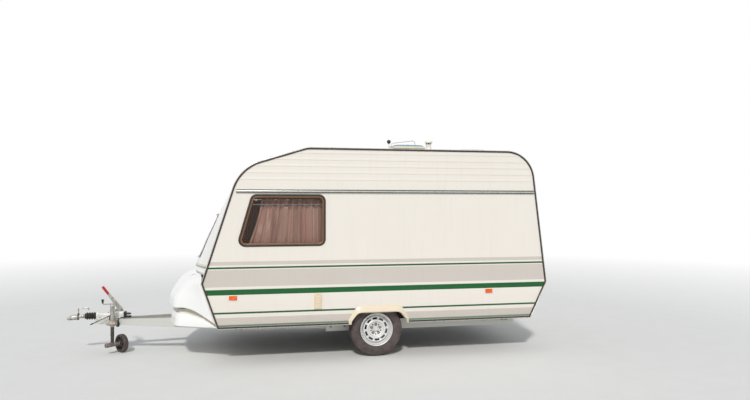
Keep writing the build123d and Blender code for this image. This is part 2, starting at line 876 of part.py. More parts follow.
# Chassis rails: open channels under the floor, behind the drawbar, with a hole for the axle tube
tube_x = axle_x - arm_lead
tube_z = tyre_r + arm_rise
with BuildPart() as chassis_rails:
    with BuildSketch(cross_plane(axle_x - chassis_front)):
        with Locations((-chassis_y, foot_z - rail_depth / 2)):
            Rectangle(rail_w, rail_depth)
        with Locations((-chassis_y + steel_t, foot_z - rail_depth / 2)):
            Rectangle(rail_w, rail_depth - 2 * steel_t, mode=Mode.SUBTRACT)
    extrude(amount=chassis_front + chassis_rear)
    with BuildSketch(side_plane(0)):
        with Locations((tube_x, tube_z)):
            Circle(axle_tube_r)
    extrude(amount=far, mode=Mode.SUBTRACT)
    mirror(about=Plane.XZ)

# Drawbar rails: channels beside the chassis rails that turn in and meet at the coupling
drawbar_y = chassis_y - rail_w
tip_x = axle_x - drawbar_tip
bend_x = axle_x - drawbar_bend
drawbar_turn = atan2(drawbar_y - drawbar_tip_y, drawbar_tip - drawbar_bend)
drawbar_len = hypot(drawbar_y - drawbar_tip_y, drawbar_tip - drawbar_bend)
full_depth_at = drawbar_len * (drawbar_tip - drawbar_taper_reach) / (drawbar_tip - drawbar_bend)
slant = Plane(
    origin=(tip_x, -drawbar_tip_y, foot_z),
    x_dir=(cos(drawbar_turn), -sin(drawbar_turn), 0),
    z_dir=(-sin(drawbar_turn), -cos(drawbar_turn), 0),
)
bar_face = outline(
    (
        (0, 0),
        (drawbar_len, 0),
        (drawbar_len, -drawbar_depth),
        (full_depth_at, -drawbar_depth),
        (0, -drawbar_depth_tip),
    ),
    (0,) * 5,
)
bar_hollow = offset(bar_face, amount=-steel_t)
with BuildPart() as drawbar_rails:
    with BuildSketch(slant.offset(rail_w / 2)):
        add(bar_face)
    extrude(amount=-rail_w)
    with BuildSketch(Plane.XY.offset(foot_z)):
        with Locations(((bend_x + axle_x + drawbar_rear) / 2, -drawbar_y)):
            Rectangle(drawbar_bend + drawbar_rear, rail_w)
    extrude(amount=-drawbar_depth)
    with BuildSketch(slant.offset(rail_w / 2 - steel_t)):
        add(bar_hollow)
    extrude(amount=-rail_w, mode=Mode.SUBTRACT)
    with BuildSketch(side_plane(0)):
        with Locations((tube_x, tube_z)):
            Circle(axle_tube_r)
    extrude(amount=far, mode=Mode.SUBTRACT)
    mirror(about=Plane.XZ)

# Cross tubes between the chassis rails
with BuildPart() as cross_members:
    span = 2 * (chassis_y - rail_w / 2)
    with BuildSketch(side_plane(chassis_y - rail_w / 2)):
        with Locations(*[(axle_x + place, foot_z - cross_tube / 2) for place in cross_places]):
            Rectangle(cross_tube, cross_tube)
            Rectangle(cross_tube - 2 * steel_t, cross_tube - 2 * steel_t, mode=Mode.SUBTRACT)
    extrude(amount=span)

# Axle: tube ahead of the wheels, trailing arms and stubs
with BuildPart() as axle:
    arm_y = wheel_y - tyre_w / 2 - arm_t - arm_gap
    stub_end = wheel_y - stub_set - 2
    with BuildSketch(side_plane(arm_y)):
        with Locations((tube_x, tube_z)):
            Circle(axle_tube_r)
            Circle(axle_tube_r - steel_t, mode=Mode.SUBTRACT)
    extrude(amount=2 * arm_y)
    for y in (arm_y + arm_t, -arm_y):
        with BuildSketch(side_plane(y)):
            with BuildLine():
                Polyline(
                    (tube_x, tube_z + arm_half_h[0]),
                    (axle_x, tyre_r + arm_half_h[1]),
                    (axle_x, tyre_r - arm_half_h[1]),
                    (tube_x, tube_z - arm_half_h[0]),
                    close=True,
                )
            make_face()
            with Locations((tube_x, tube_z)):
                Circle(axle_tube_r)
            with Locations((axle_x, tyre_r)):
                Circle(arm_half_h[1])
        extrude(amount=arm_t)
    for y in (stub_end, -arm_y):
        with BuildSketch(side_plane(y)):
            with Locations((axle_x, tyre_r)):
                Circle(stub_r)
        extrude(amount=stub_end - arm_y)

# Road wheels: tyre, and rim with its disc, hub, brake drum and cap. Each section is drawn as radius and
# distance outwards from the wheel's centre plane, and turned about the stub's axis.
tyres = {}
rims = {}
barrel_in = rim_r - barrel_t
flange_at = rim_w / 2
disc_back = [(r - disc_t / 2, out - disc_t) for r, out in reversed(disc_section)]
disc_edge = (disc_section[0][0], disc_section[0][1] - disc_t)
for side, hand in (("left", -1), ("right", 1)):
    hub = Plane(origin=(axle_x, hand * wheel_y, tyre_r), x_dir=(1, 0, 0), z_dir=(0, hand, 0))
    radial = Plane(origin=hub.origin, x_dir=(1, 0, 0), z_dir=(0, 0, hand))
    spindle = Axis(hub.origin, hub.z_dir)
    with BuildPart() as tyre:
        with BuildSketch(radial):
            with BuildLine():
                FilletPolyline(
                    *[(r, -out) for r, out in tyre_section],
                    *[(r, out) for r, out in reversed(tyre_section)],
                    radius=[r for r in tyre_rounds] + [r for r in reversed(tyre_rounds)],
                    close=True,
                )
            make_face()
        revolve(axis=spindle)
    tyres[side] = tyre
    with BuildPart() as rim:
        with BuildSketch(radial):
            with BuildLine():
                Polyline(
                    (rim_r, -flange_at),
                    (rim_flange_r, -flange_at),
                    (rim_flange_r, -flange_at - barrel_t),
                    (barrel_in, -flange_at - barrel_t),
                    (barrel_in, flange_at + barrel_t),
                    (rim_flange_r, flange_at + barrel_t),
                    (rim_flange_r, flange_at),
                    (rim_r, flange_at),
                    close=True,
                )
            make_face()
            with BuildLine():
                Polyline(*disc_section, *disc_back[:-1], disc_edge, close=True)
            make_face()
            with BuildLine():
                Polyline(
                    (stub_bore_r, -drum_inner),
                    (drum_r, -drum_inner),
                    (drum_r, disc_section[-1][1] - drum_step),
                    (disc_section[-2][0] - 4, disc_section[-1][1] - disc_t + 1),
                    (hub_cap_r, disc_section[-1][1]),
                    (hub_cap_r, disc_section[-1][1] + hub_cap_h),
                    (0, disc_section[-1][1] + hub_cap_h),
                    (0, -stub_set),
                    (stub_bore_r, -stub_set),
                    close=True,
                )
            make_face()
        revolve(axis=spindle)
        with BuildSketch(hub.offset(disc_section[-1][1])):
            with PolarLocations(bolt_circle_r, bolt_count):
                RegularPolygon(wheel_bolt_r, 6)
        extrude(amount=wheel_bolt_h)
    rims[side] = rim

# Overrun coupling: housing on the drawbar tips, draw shaft with ribbed gaiter, ball head
with BuildPart() as overrun_housing:
    with Locations((axle_x - (housing_front + housing_rear) / 2, 0, (housing_z[0] + housing_z[1]) / 2)):
        Box(housing_front - housing_rear, housing_w, housing_z[1] - housing_z[0])
    fillet(overrun_housing.edges().filter_by(Axis.X).group_by(Axis.Z)[-1], housing_round)
with BuildPart() as gaiter:
    rib = (bellows_front - housing_front) / bellows_ribs
    start = axle_x - bellows_front
    with BuildSketch(Plane.XZ):
        with BuildLine():
            Polyline(
                (start, shaft_z + shaft_r),
                (start, shaft_z + bellows_root_r),
                *[
                    (start + (i + step) * rib, shaft_z + r)
                    for i in range(bellows_ribs)
                    for step, r in ((0.3, bellows_r), (0.7, bellows_r), (1, bellows_root_r))
                ],
                (axle_x - housing_front, shaft_z + shaft_r),
                close=True,
            )
        make_face()
    revolve(axis=Axis((start, 0, shaft_z), (1, 0, 0)))
with BuildPart() as coupling_head:
    head_rear = bellows_front + gaiter_clear
    with BuildSketch(cross_plane(axle_x - head_rear)):
        with Locations((0, shaft_z)):
            Circle(shaft_r)
    extrude(amount=head_rear - housing_front)
    with Locations((axle_x - (nose_rear + head_rear) / 2, 0, (neck_z[0] + neck_z[1]) / 2)):
        Box(nose_rear - head_rear, neck_w, neck_z[1] - neck_z[0])
    with Locations((axle_x - (head_tip + nose_rear) / 2, 0, (head_z[0] + head_z[1]) / 2)):
        Box(head_tip - nose_rear, head_w, head_z[1] - head_z[0])
    fillet(coupling_head.edges().filter_by(Axis.Z).group_by(Axis.X)[0], nose_r)
    with Locations((axle_x - socket_reach, 0, head_z[0])):
        Cylinder(socket_r, 2 * socket_depth, mode=Mode.SUBTRACT)
    loop_low = neck_z[1] - loop_r
    with BuildSketch(side_plane(loop_r)):
        with BuildLine():
            Polyline(
                (axle_x - loop_reach[0], loop_low),
                (axle_x - loop_reach[0], loop_z),
                (axle_x - loop_reach[1], loop_z),
                (axle_x - loop_reach[1], loop_z - loop_hook),
                (axle_x - loop_reach[1] - 2 * loop_r, loop_z - loop_hook),
                (axle_x - loop_reach[1] - 2 * loop_r, loop_z - 2 * loop_r),
                (axle_x - loop_reach[0] + 2 * loop_r, loop_z - 2 * loop_r),
                (axle_x - loop_reach[0] + 2 * loop_r, loop_low),
                close=True,
            )
        make_face()
    extrude(amount=2 * loop_r)
with BuildPart() as handbrake_lever:
    lean = degrees(atan2(lever_tip[1] - lever_foot[1], lever_foot[0] - lever_tip[0]))
    reach = hypot(lever_tip[1] - lever_foot[1], lever_tip[0] - lever_foot[0])
    foot = (axle_x - lever_foot[0], lever_y, housing_z[1] + lever_rise)
    along = (-cos(radians(lean)), 0, sin(radians(lean)))
    bar_len = reach - grip_len
    with BuildSketch(Plane(origin=foot, x_dir=along, z_dir=(0, -1, 0)).offset(-lever_t / 2)):
        with BuildLine():
            Polyline(
                (0, -lever_w[0] / 2),
                (bar_len, -lever_w[1] / 2),
                (bar_len, lever_w[1] / 2),
                (0, lever_w[0] / 2),
                close=True,
            )
        make_face()
    extrude(amount=lever_t)
    with BuildSketch(Plane(origin=foot, x_dir=(0, 1, 0), z_dir=along).offset(bar_len)):
        Circle(grip_r)
    extrude(amount=grip_len)
    with Locations((foot[0], lever_y, housing_z[1] + lever_base[1] / 2)):
        Box(lever_base[0], lever_t, lever_base[1])

# Jockey wheel: clamp on the left drawbar rail, outer tube and crank, sliding inner tube, castor fork, wheel
leg_x = axle_x - leg_reach
with BuildPart() as jockey_clamp:
    with BuildSketch(Plane.XY.offset(clamp_z[0])):
        with Locations((leg_x, leg_y)):
            Circle(outer_r + clamp_t)
        with Locations((leg_x, leg_y / 2)):
            Rectangle(clamp_neck_w, -leg_y)
        with Locations((leg_x, leg_y)):
            Circle(outer_r + 0.2, mode=Mode.SUBTRACT)
    extrude(amount=clamp_z[1] - clamp_z[0])
    with BuildSketch(slant.offset(rail_w / 2 + 0.1)):
        with Locations((drawbar_len / 2, 0)):
            Rectangle(2 * drawbar_len, 2 * far)
    extrude(amount=-far, mode=Mode.SUBTRACT)
    rod_rear = (axle_x - clamp_rod[0][0], clamp_rod_y, clamp_rod[0][1])
    rod_run = (clamp_rod[0][0] - clamp_rod[1][0], 0, clamp_rod[1][1] - clamp_rod[0][1])
    with BuildSketch(Plane(origin=rod_rear, x_dir=(0, 1, 0), z_dir=rod_run)):
        Circle(clamp_rod_r)
    extrude(amount=hypot(rod_run[0], rod_run[2]))
    with Locations((rod_rear[0], clamp_rod_y, clamp_z[1])):
        Box(*clamp_lug, align=(Align.CENTER, Align.CENTER, Align.MIN))
with BuildPart() as jockey_outer_tube:
    with BuildSketch(Plane.XY.offset(outer_z[0])):
        with Locations((leg_x, leg_y)):
            Circle(outer_r)
            Circle(outer_bore_r, mode=Mode.SUBTRACT)
    extrude(amount=outer_z[1] - outer_z[0])
    with BuildSketch(Plane.XY.offset(outer_z[1])):
        with Locations((leg_x, leg_y)):
            Circle(outer_r)
    extrude(amount=outer_cap_h)
    with BuildSketch(Plane.XY.offset(outer_z[1] + outer_cap_h)):
        with Locations((leg_x, leg_y)):
            Circle(crank_r + 2)
    extrude(amount=crank_z - outer_z[1] - outer_cap_h + crank_r)
    with Locations((leg_x - crank_len / 2, leg_y, crank_z)):
        Box(crank_len + 2 * crank_r, 2 * crank_r, 2 * crank_r)
    with Locations((leg_x - crank_len, leg_y, crank_z + crank_r)):
        Cylinder(crank_r, knob_h, align=(Align.CENTER, Align.CENTER, Align.MIN))
with BuildPart() as jockey_inner_tube:
    with BuildSketch(Plane.XY.offset(inner_z[0])):
        with Locations((leg_x, leg_y)):
            Circle(inner_r)
            Circle(inner_bore_r, mode=Mode.SUBTRACT)
    extrude(amount=inner_z[1] - inner_z[0])
turn = radians(castor_turn)
castor_axes = Plane(origin=(leg_x, leg_y, 0), x_dir=(cos(turn), sin(turn), 0), z_dir=(sin(turn), -cos(turn), 0))
with BuildPart() as jockey_castor:
    with BuildSketch(Plane(origin=(leg_x, leg_y, jockey_r))):
        Circle(castor_r)
    extrude(amount=collar_z[1] - jockey_r)
    with BuildSketch(Plane(origin=(leg_x, leg_y, collar_z[0]))):
        Circle(collar_r)
    extrude(amount=collar_z[1] - collar_z[0])
    with BuildSketch(Plane(origin=(leg_x, leg_y, collar_z[1]))):
        Circle(stem_r)
    extrude(amount=stem_h)
    nut_from = jockey_out + jockey_w / 2 + hub_gap
    # round pieces along the hub's axis: radius, from, to
    for r, near, away in (
        (hub_r, hub_out, jockey_w / 2 + hub_gap - jockey_out),
        (jockey_pin_r, 0, -nut_from),
        (jockey_nut[0], -nut_from, -nut_from - jockey_nut[1]),
    ):
        with BuildSketch(castor_axes.offset(away)):
            with Locations((castor_trail, jockey_r)):
                Circle(r)
        extrude(amount=near - away)
with BuildPart() as jockey_wheel:
    with BuildSketch(castor_axes.offset(jockey_w / 2 - jockey_out)):
        with Locations((castor_trail, jockey_r)):
            Circle(jockey_r)
            Circle(jockey_bore_r, mode=Mode.SUBTRACT)
    extrude(amount=-jockey_w)
    fillet(jockey_wheel.edges().filter_by(GeomType.CIRCLE).group_by(SortBy.RADIUS)[-1], jockey_round)

# Lead and plug: out of the overrun housing, over the near rail and down into the plug
plug_x = axle_x - plug_reach
lead_points = [(plug_x + back, y, z) for back, y, z in lead_route]
with BuildPart() as tow_lead:
    with BuildLine() as lead_path:
        FilletPolyline(*lead_points, radius=list(lead_rounds))
    with BuildSketch(Plane(origin=lead_path.line @ 0, z_dir=lead_path.line % 0)):
        Circle(lead_r)
    sweep(path=lead_path.line)
    with BuildSketch(Plane.XY.offset(plug_z[0])):
        with Locations((plug_x, lead_route[-1][1])):
            Circle(plug_r)
    extrude(amount=plug_z[1] - plug_z[0])

# Corner steadies: brackets bolted under the floor, and four legs folded level
corners = [
    (f"{end}_{side}", axle_x + place, way, hand * steady_y)
    for (place, way), end in zip(steady_places, ("front", "rear"))
    for side, hand in (("left", -1), ("right", 1))
]
ear_h = foot_z - steady_plate[2] - steady_pivot_z + steady_ear_below
with BuildPart() as steady_brackets:
    for corner, pivot_x, way, y in corners:
        with Locations((pivot_x, y, foot_z)):
            Box(*steady_plate, align=(Align.CENTER, Align.CENTER, Align.MAX))
        ear_y = steady_w / 2 + steady_gap + steady_ear_t / 2
        ear_z = foot_z - steady_plate[2]
        with Locations((pivot_x, y - ear_y, ear_z), (pivot_x, y + ear_y, ear_z)):
            Box(steady_ear_w, steady_ear_t, ear_h, align=(Align.CENTER, Align.CENTER, Align.MAX))
        with BuildSketch(side_plane(y + steady_w / 2 + steady_gap)):
            with Locations((pivot_x, steady_pivot_z)):
                Circle(steady_pin_r)
        extrude(amount=steady_w + 2 * steady_gap)
steadies = {}
for corner, pivot_x, way, y in corners:
    with BuildPart() as leg:
        with BuildSketch(side_plane(y + steady_w / 2)):
            with BuildLine():
                Polyline(
                    (pivot_x - way * steady_heel, steady_pivot_z + steady_half_h[0]),
                    (pivot_x + way * steady_len, steady_pivot_z + steady_half_h[1]),
                    (pivot_x + way * steady_len, steady_pivot_z - steady_half_h[1]),
                    (pivot_x - way * steady_heel, steady_pivot_z - steady_half_h[0]),
                    close=True,
                )
            make_face()
            with Locations((pivot_x, steady_pivot_z)):
                Circle(steady_pin_r + 0.3, mode=Mode.SUBTRACT)
        extrude(amount=steady_w)
        foot_x = pivot_x + way * (steady_len - steady_foot[0] / 2)
        with Locations((foot_x, y, steady_pivot_z - steady_half_h[1])):
            Box(*steady_foot, align=(Align.CENTER, Align.CENTER, Align.MAX))
    steadies[corner] = leg

# Roof fittings
with BuildPart() as hatch_frame:
    with BuildSketch(Plane.XY.offset(roof_z)):
        with Locations((hatch_mid_x, 0)):
            RectangleRounded(hatch_size, hatch_size, 50)
            RectangleRounded(hatch_hole - 12, hatch_hole - 12, 34, mode=Mode.SUBTRACT)
    extrude(amount=hatch_frame_h)
    hatch_hinge_x = hatch_mid_x + hatch_size / 2
    for y in (-hatch_hinge_y, hatch_hinge_y):
        with Locations((hatch_hinge_x + hatch_pin_r, y, roof_z + hatch_frame_h - hatch_ear_h / 2)):
            Box(2 * hatch_pin_r, hatch_ear_w, hatch_ear_h)
hatch_lid_z = roof_z + hatch_frame_h + hatch_gap
with BuildPart() as hatch_lid:
    with BuildSketch(Plane.XY.offset(hatch_lid_z)):
        with Locations((hatch_mid_x, 0)):
            RectangleRounded(hatch_size + 14, hatch_size + 14, 56)
    extrude(amount=hatch_lid_h, taper=12)
    with BuildSketch(Plane.XY.offset(hatch_lid_z)):
        with Locations((hatch_mid_x, 0)):
            RectangleRounded(hatch_size, hatch_size, 50)
    extrude(amount=hatch_lid_h - hatch_skin, taper=12, mode=Mode.SUBTRACT)
    bail_top = hatch_lid_z + hatch_lid_h + bail_h
    with BuildLine() as bail_path:
        FilletPolyline(
            (hatch_mid_x - bail_half, 0, hatch_lid_z + hatch_lid_h - 4),
            (hatch_mid_x - bail_half, 0, bail_top - bail_r),
            (hatch_mid_x + bail_half, 0, bail_top - bail_r),
            (hatch_mid_x + bail_half, 0, hatch_lid_z + hatch_lid_h - 4),
            radius=[bail_bend_r, bail_bend_r],
        )
    with BuildSketch(Plane(origin=bail_path.line @ 0, z_dir=bail_path.line % 0)):
        Circle(bail_r)
    sweep(path=bail_path.line)
with BuildPart() as skylight:
    with BuildSketch(Plane.XY.offset(roof_z)):
        with Locations((axle_x + skylight_x, 0)):
            RectangleRounded(skylight_size, skylight_size, 60)
    extrude(amount=skylight_h, taper=14)
with BuildPart() as flue:
    with BuildSketch(Plane.XY.offset(roof_z)):
        with Locations((axle_x + flue_at[0], flue_y)):
            Circle(flue_r)
    extrude(amount=flue_h)
    with BuildSketch(Plane.XY.offset(roof_z + flue_h)):
        with Locations((axle_x + flue_at[0], flue_y)):
            Circle(flue_cap_r)
    extrude(amount=flue_cap_h)
with BuildPart() as mast:
    with Locations((axle_x + mast_at[0], mast_y, roof_z)):
        Cylinder(mast_r, mast_h, align=(Align.CENTER, Align.CENTER, Align.MIN))
    with Locations((axle_x + mast_at[0], mast_y, roof_z + mast_h)):
        Sphere(mast_ball_r)

# Every finished piece, under the name of its node
pieces = {
    "wall_left": walls["left"],
    "wall_right": walls["right"],
    "roof": roof,
    "rear_wall": rear_wall,
    "front_wall": front_wall,
    "front_panel": front_panel,
    "floor": floor,
    "wheel_boxes": wheel_boxes,
    "wheel_arch_trims": wheel_arch_trims,
    "edge_trims": edge_trims,
    "drip_rails": drip_rails,
    "marker_lamps": marker_lamps,
    "vent_cover": vent_cover,
    "window_seals": window_seals,
    "window_panes": window_panes,
    "curtains": curtains,
    "curtain_rods": curtain_rods,
    "door": door,
    "door_window": door_window,
    "tail_lamps": tail_lamps,
    "number_plate": number_plate,
    "locker_lid": locker_lid,
    "locker_base": locker_base,
    "chassis_rails": chassis_rails,
    "drawbar_rails": drawbar_rails,
    "cross_members": cross_members,
    "axle": axle,
    "tyre_left": tyres["left"],
    "tyre_right": tyres["right"],
    "rim_left": rims["left"],
    "rim_right": rims["right"],
    "overrun_housing": overrun_housing,
    "gaiter": gaiter,
    "coupling_head": coupling_head,
    "handbrake_lever": handbrake_lever,
    "jockey_clamp": jockey_clamp,
    "jockey_outer_tube": jockey_outer_tube,
    "jockey_inner_tube": jockey_inner_tube,
    "jockey_castor": jockey_castor,
    "jockey_wheel": jockey_wheel,
    "tow_lead": tow_lead,
    "steady_brackets": steady_brackets,
    "steady_front_left": steadies["front_left"],
    "steady_front_right": steadies["front_right"],
    "steady_rear_left": steadies["rear_left"],
    "steady_rear_right": steadies["rear_right"],
    "hatch_frame": hatch_frame,
    "hatch_lid": hatch_lid,
    "skylight": skylight,
    "flue": flue,
    "mast": mast,
}
for name, piece in pieces.items():
    piece.part.label = name
    export_step(piece.part, f"parts/{name}.step")
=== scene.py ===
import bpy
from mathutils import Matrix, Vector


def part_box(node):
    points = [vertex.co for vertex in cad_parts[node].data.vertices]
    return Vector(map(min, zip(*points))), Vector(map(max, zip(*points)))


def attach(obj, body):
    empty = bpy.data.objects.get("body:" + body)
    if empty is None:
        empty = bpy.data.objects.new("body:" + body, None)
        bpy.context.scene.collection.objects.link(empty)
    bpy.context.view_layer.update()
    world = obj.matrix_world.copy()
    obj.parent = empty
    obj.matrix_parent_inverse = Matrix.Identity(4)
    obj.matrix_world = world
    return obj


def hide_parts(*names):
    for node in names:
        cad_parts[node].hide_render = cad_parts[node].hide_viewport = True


bl_info = {
    "name": "Travel caravan",
    "version": (1, 0, 0),
    "blender": (4, 5, 0),
    "location": "3D View > Sidebar > Caravan",
    "description": "Dresses a single-axle touring caravan in its panels, trims, windows, wheels and finishes",
    "category": "Object",
}

from math import acos, atan2, ceil, cos, hypot, pi, radians, sin, sqrt, tan

import bmesh
import bpy
from bpy.props import FloatProperty, FloatVectorProperty, IntProperty, PointerProperty
from mathutils import Matrix, Vector

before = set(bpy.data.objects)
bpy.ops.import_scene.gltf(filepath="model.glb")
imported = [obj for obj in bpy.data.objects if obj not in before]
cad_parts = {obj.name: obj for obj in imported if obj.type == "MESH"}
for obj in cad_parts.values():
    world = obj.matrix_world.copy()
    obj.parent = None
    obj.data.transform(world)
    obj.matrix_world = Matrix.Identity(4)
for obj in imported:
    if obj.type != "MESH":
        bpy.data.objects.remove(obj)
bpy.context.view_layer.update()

BODY = "caravan"
LEFT, RIGHT = -1, 1
SIDES = (("left", LEFT), ("right", RIGHT))


def mm(*rows):
    """A table given in millimetres, in metres."""
    return tuple(tuple(value / 1000 for value in row) for row in rows)


# Body outline in side view: x, z, corner radius, in metres
AXLE_X = 0.731
FOOT_Z = 0.404
FOOT_X = -1.11
KINK = (-1.287, 0.915)
SHOULDER = (-0.868, 2.221)
ROOF_Z = 2.46
BODY_CORNERS = (
    (FOOT_X, FOOT_Z, 0),
    (*KINK, 0.012),
    (*SHOULDER, 0.48),
    (-0.1, ROOF_Z, 0.26),
    (2.678, ROOF_Z, 0.362),
    (2.88, 0.844, 0.014),
    (2.666, FOOT_Z, 0),
)
HALF_W = 1.05
INNER_Y = 1.02
REAR_KINK = Vector((2.88, 0, 0.844))
REAR_TOP = Vector((2.678, 0, ROOF_Z))
TRIM_IN = 0.026             # from the body's outline in to the beads' ends

# Windows: side window corners x, z, and radius;
# flat windows as centre height, half width, half height, radius
SIDE_WINDOW = mm((103, 1332), (103, 1911), (-728, 1911), (-895, 1332))
SIDE_WINDOW_R = 0.07
FRONT_WINDOW = (1.4225, 0.42, 0.2575, 0.06)
REAR_WINDOW = (1.575, 0.6, 0.275, 0.08)
DOOR_WINDOW = (1.546, 1.56, 0.165, 0.21, 0.045)
PANE_IN = 0.03              # from a window's outline in to its pane

# Colour bands of the side, from the foot up: lower edge height, and which paint starts there
SIDE_BANDS = (
    (0, "base"),
    (0.423, "dull"),
    (0.438, "base"),
    (0.444, "grey"),
    (0.524, "base"),
    (0.566, "thin"),
    (0.588, "base"),
    (0.78, "green"),
    (0.806, "pale"),
    (0.81, "green"),
    (0.836, "base"),
    (0.872, "grey"),
    (1.057, "base"),
    (1.074, "thin"),
    (1.09, "base"),
    (1.112, "grey"),
    (1.156, "base"),
)
BOW_BANDS = (
    (0, "base"),
    (1.038, "thin"),
    (1.057, "base"),
    (1.065, "beige"),
    (1.083, "base"),
)
BOW_RISE = 0.033            # the bow's lines climb by this share of the way out from the middle
BAND_TOP = 2.6
SEAM_Z = 1.782              # height of the side curtains' seam
HUB_Z = 0.317               # height of the wheel's middle


def linear(red, green, blue):
    """A colour as a photograph shows it, 0 to 255, in linear light."""
    out = []
    for value in (red, green, blue):
        part = value / 255
        out.append(part / 12.92 if part <= 0.04045 else ((part + 0.055) / 1.055) ** 2.4)
    return tuple(out)


def length_prop(label, text, value):
    return FloatProperty(name=label, description=text, default=value, unit="LENGTH")


class CaravanSizes(bpy.types.PropertyGroup):
    rib_height: length_prop("Rib height", "How far the pressed side ribs stand out", 0.0046)
    bead_height: length_prop("Skirt bead height", "How far the skirt's small beads stand out", 0.0022)
    edge_bead: length_prop("Edge bead", "Radius of the bright bead outside the edge trim", 0.005)
    curtain_fold: length_prop("Curtain fold", "Depth of the curtain's gathers", 0.03)
    tyre_radius: length_prop("Tyre radius", "Radius over the tread", 0.317)
    tread_depth: length_prop("Tread depth", "Depth of the tyre's grooves", 0.007)
    tread_blocks: IntProperty(name="Tread blocks", description="Blocks round the tyre's shoulder", default=60)
    locker_corner: length_prop("Locker corner", "Corner radius of the gas locker in plan", 0.17)
    floor_radius: length_prop("Floor radius", "Radius of the stage's floor", 60)


def colour_prop(label, text, value):
    """One colour of the caravan, as a property of the panel."""
    return FloatVectorProperty(
        name=label, description=text, default=linear(*value), size=3, subtype="COLOR", min=0, max=1
    )


class CaravanColours(bpy.types.PropertyGroup):
    side: colour_prop("Side", "Cream paint of the side walls", (244, 238, 229))
    gel: colour_prop("Gel coat", "White of the bowed front and the gas locker", (243, 241, 236))
    grey_band: colour_prop("Grey band", "Warm grey side bands", (214, 206, 198))
    green_band: colour_prop("Green band", "Wide green side band", (0, 92, 38))
    thin_band: colour_prop("Thin band", "Narrow green lines", (6, 88, 42))
    dull_band: colour_prop("Skirt line", "Weathered green line at the foot", (116, 142, 120))
    spat: colour_prop("Wheel arch trim", "Beige wheel arch trims", (222, 194, 148))
    trim: colour_prop("Edge trim", "Dark trim round the side walls", (60, 47, 40))
    curtain: colour_prop("Curtain", "Dusty pink net", (212, 162, 148))
    steel: colour_prop("Galvanised", "Dull zinc on the chassis", (176, 174, 166))
    wheel: colour_prop("Wheel", "Silver paint of the rims", (206, 204, 200))
    orange: colour_prop("Marker lens", "Orange side lenses", (255, 104, 0))
    red: colour_prop("Tail lens", "Red rear lenses", (176, 20, 16))
    grip: colour_prop("Grip", "Red grip of the handbrake lever", (196, 22, 40))


# Shader building

def new_material(name):
    """An empty material with its Principled shader wired to the output."""
    mat = bpy.data.materials.new(name)
    mat.use_nodes = True
    tree = mat.node_tree
    tree.nodes.clear()
    out = tree.nodes.new("ShaderNodeOutputMaterial")
    shader = tree.nodes.new("ShaderNodeBsdfPrincipled")
    tree.links.new(shader.outputs[0], out.inputs[0])
    return mat, tree, shader


def put(tree, socket, value):
    """A value or another node's output into a socket."""
    if isinstance(value, bpy.types.NodeSocket):
        tree.links.new(value, socket)
    elif isinstance(value, (tuple, list)) and len(value) == 3 and socket.type == "RGBA":
        socket.default_value = (*value, 1)
    else:
        socket.default_value = value


def put_all(tree, shader, values):
    """Values into the sockets of that name."""
    for name, value in values.items():
        put(tree, shader.inputs[name], value)


def node(tree, kind, inputs=None, **settings):
    """A node with its settings and inputs, by socket name or number."""
    made = tree.nodes.new(kind)
    for key, value in settings.items():
        setattr(made, key, value)
    for key, value in (inputs or {}).items():
        put(tree, made.inputs[key], value)
    return made


def object_coords(tree, scale=(1, 1, 1)):
    """Real-size coordinates in metres, stretched along each axis."""
    coords = node(tree, "ShaderNodeTexCoord").outputs["Object"]
    if scale == (1, 1, 1):
        return coords
    return vector(tree, "MULTIPLY", coords, scale).outputs[0]


def vector(tree, operation, first, second=(0, 0, 0)):
    return node(tree, "ShaderNodeVectorMath", {0: first, 1: second}, operation=operation)


def parts_of(tree, coords):
    """X, Y and Z of a vector."""
    return node(tree, "ShaderNodeSeparateXYZ", {0: coords}).outputs


def axes(tree):
    """X, Y and Z in metres."""
    return parts_of(tree, object_coords(tree))


def noise(tree, scale, detail=3, stretch=(1, 1, 1)):
    """Noise between 0 and 1."""
    inputs = {"Vector": object_coords(tree, stretch), "Scale": scale, "Detail": detail, "Roughness": 0.55}
    return node(tree, "ShaderNodeTexNoise", inputs).outputs[0]


def maths(tree, operation, first, second=0.5):
    return node(tree, "ShaderNodeMath", {0: first, 1: second}, operation=operation).outputs[0]


def times(tree, first, second):
    return maths(tree, "MULTIPLY", first, second)


def wave(tree, value, rate):
    return maths(tree, "SINE", times(tree, value, rate))


def spread(tree, value, low, high, new_low=0, new_high=1):
    """A value mapped from one range to another, held at its ends."""
    inputs = {"Value": value, "From Min": low, "From Max": high, "To Min": new_low, "To Max": new_high}
    return node(tree, "ShaderNodeMapRange", inputs).outputs[0]


def blend(tree, amount, first, second, mode="MIX"):
    """Two colours mixed by an amount."""
    made = node(tree, "ShaderNodeMix", data_type="RGBA", blend_type=mode)
    for socket, value in ((0, amount), (6, first), (7, second)):
        put(tree, made.inputs[socket], value)
    return made.outputs[2]


def patched(tree, noise_at, low, high, share, first, second):
    """A second colour in patches of noise over the first, up to a share."""
    return blend(tree, spread(tree, noise(tree, *noise_at), low, high, 0, share), first, second)


def darker(colour, part):
    return tuple(max(0, value * part) for value in colour)


def relief(tree, height, depth, strength=1, under=None):
    """A bump of real depth in metres."""
    inputs = {"Height": height, "Strength": strength, "Distance": depth}
    if under is not None:
        inputs["Normal"] = under
    return node(tree, "ShaderNodeBump", inputs).outputs[0]


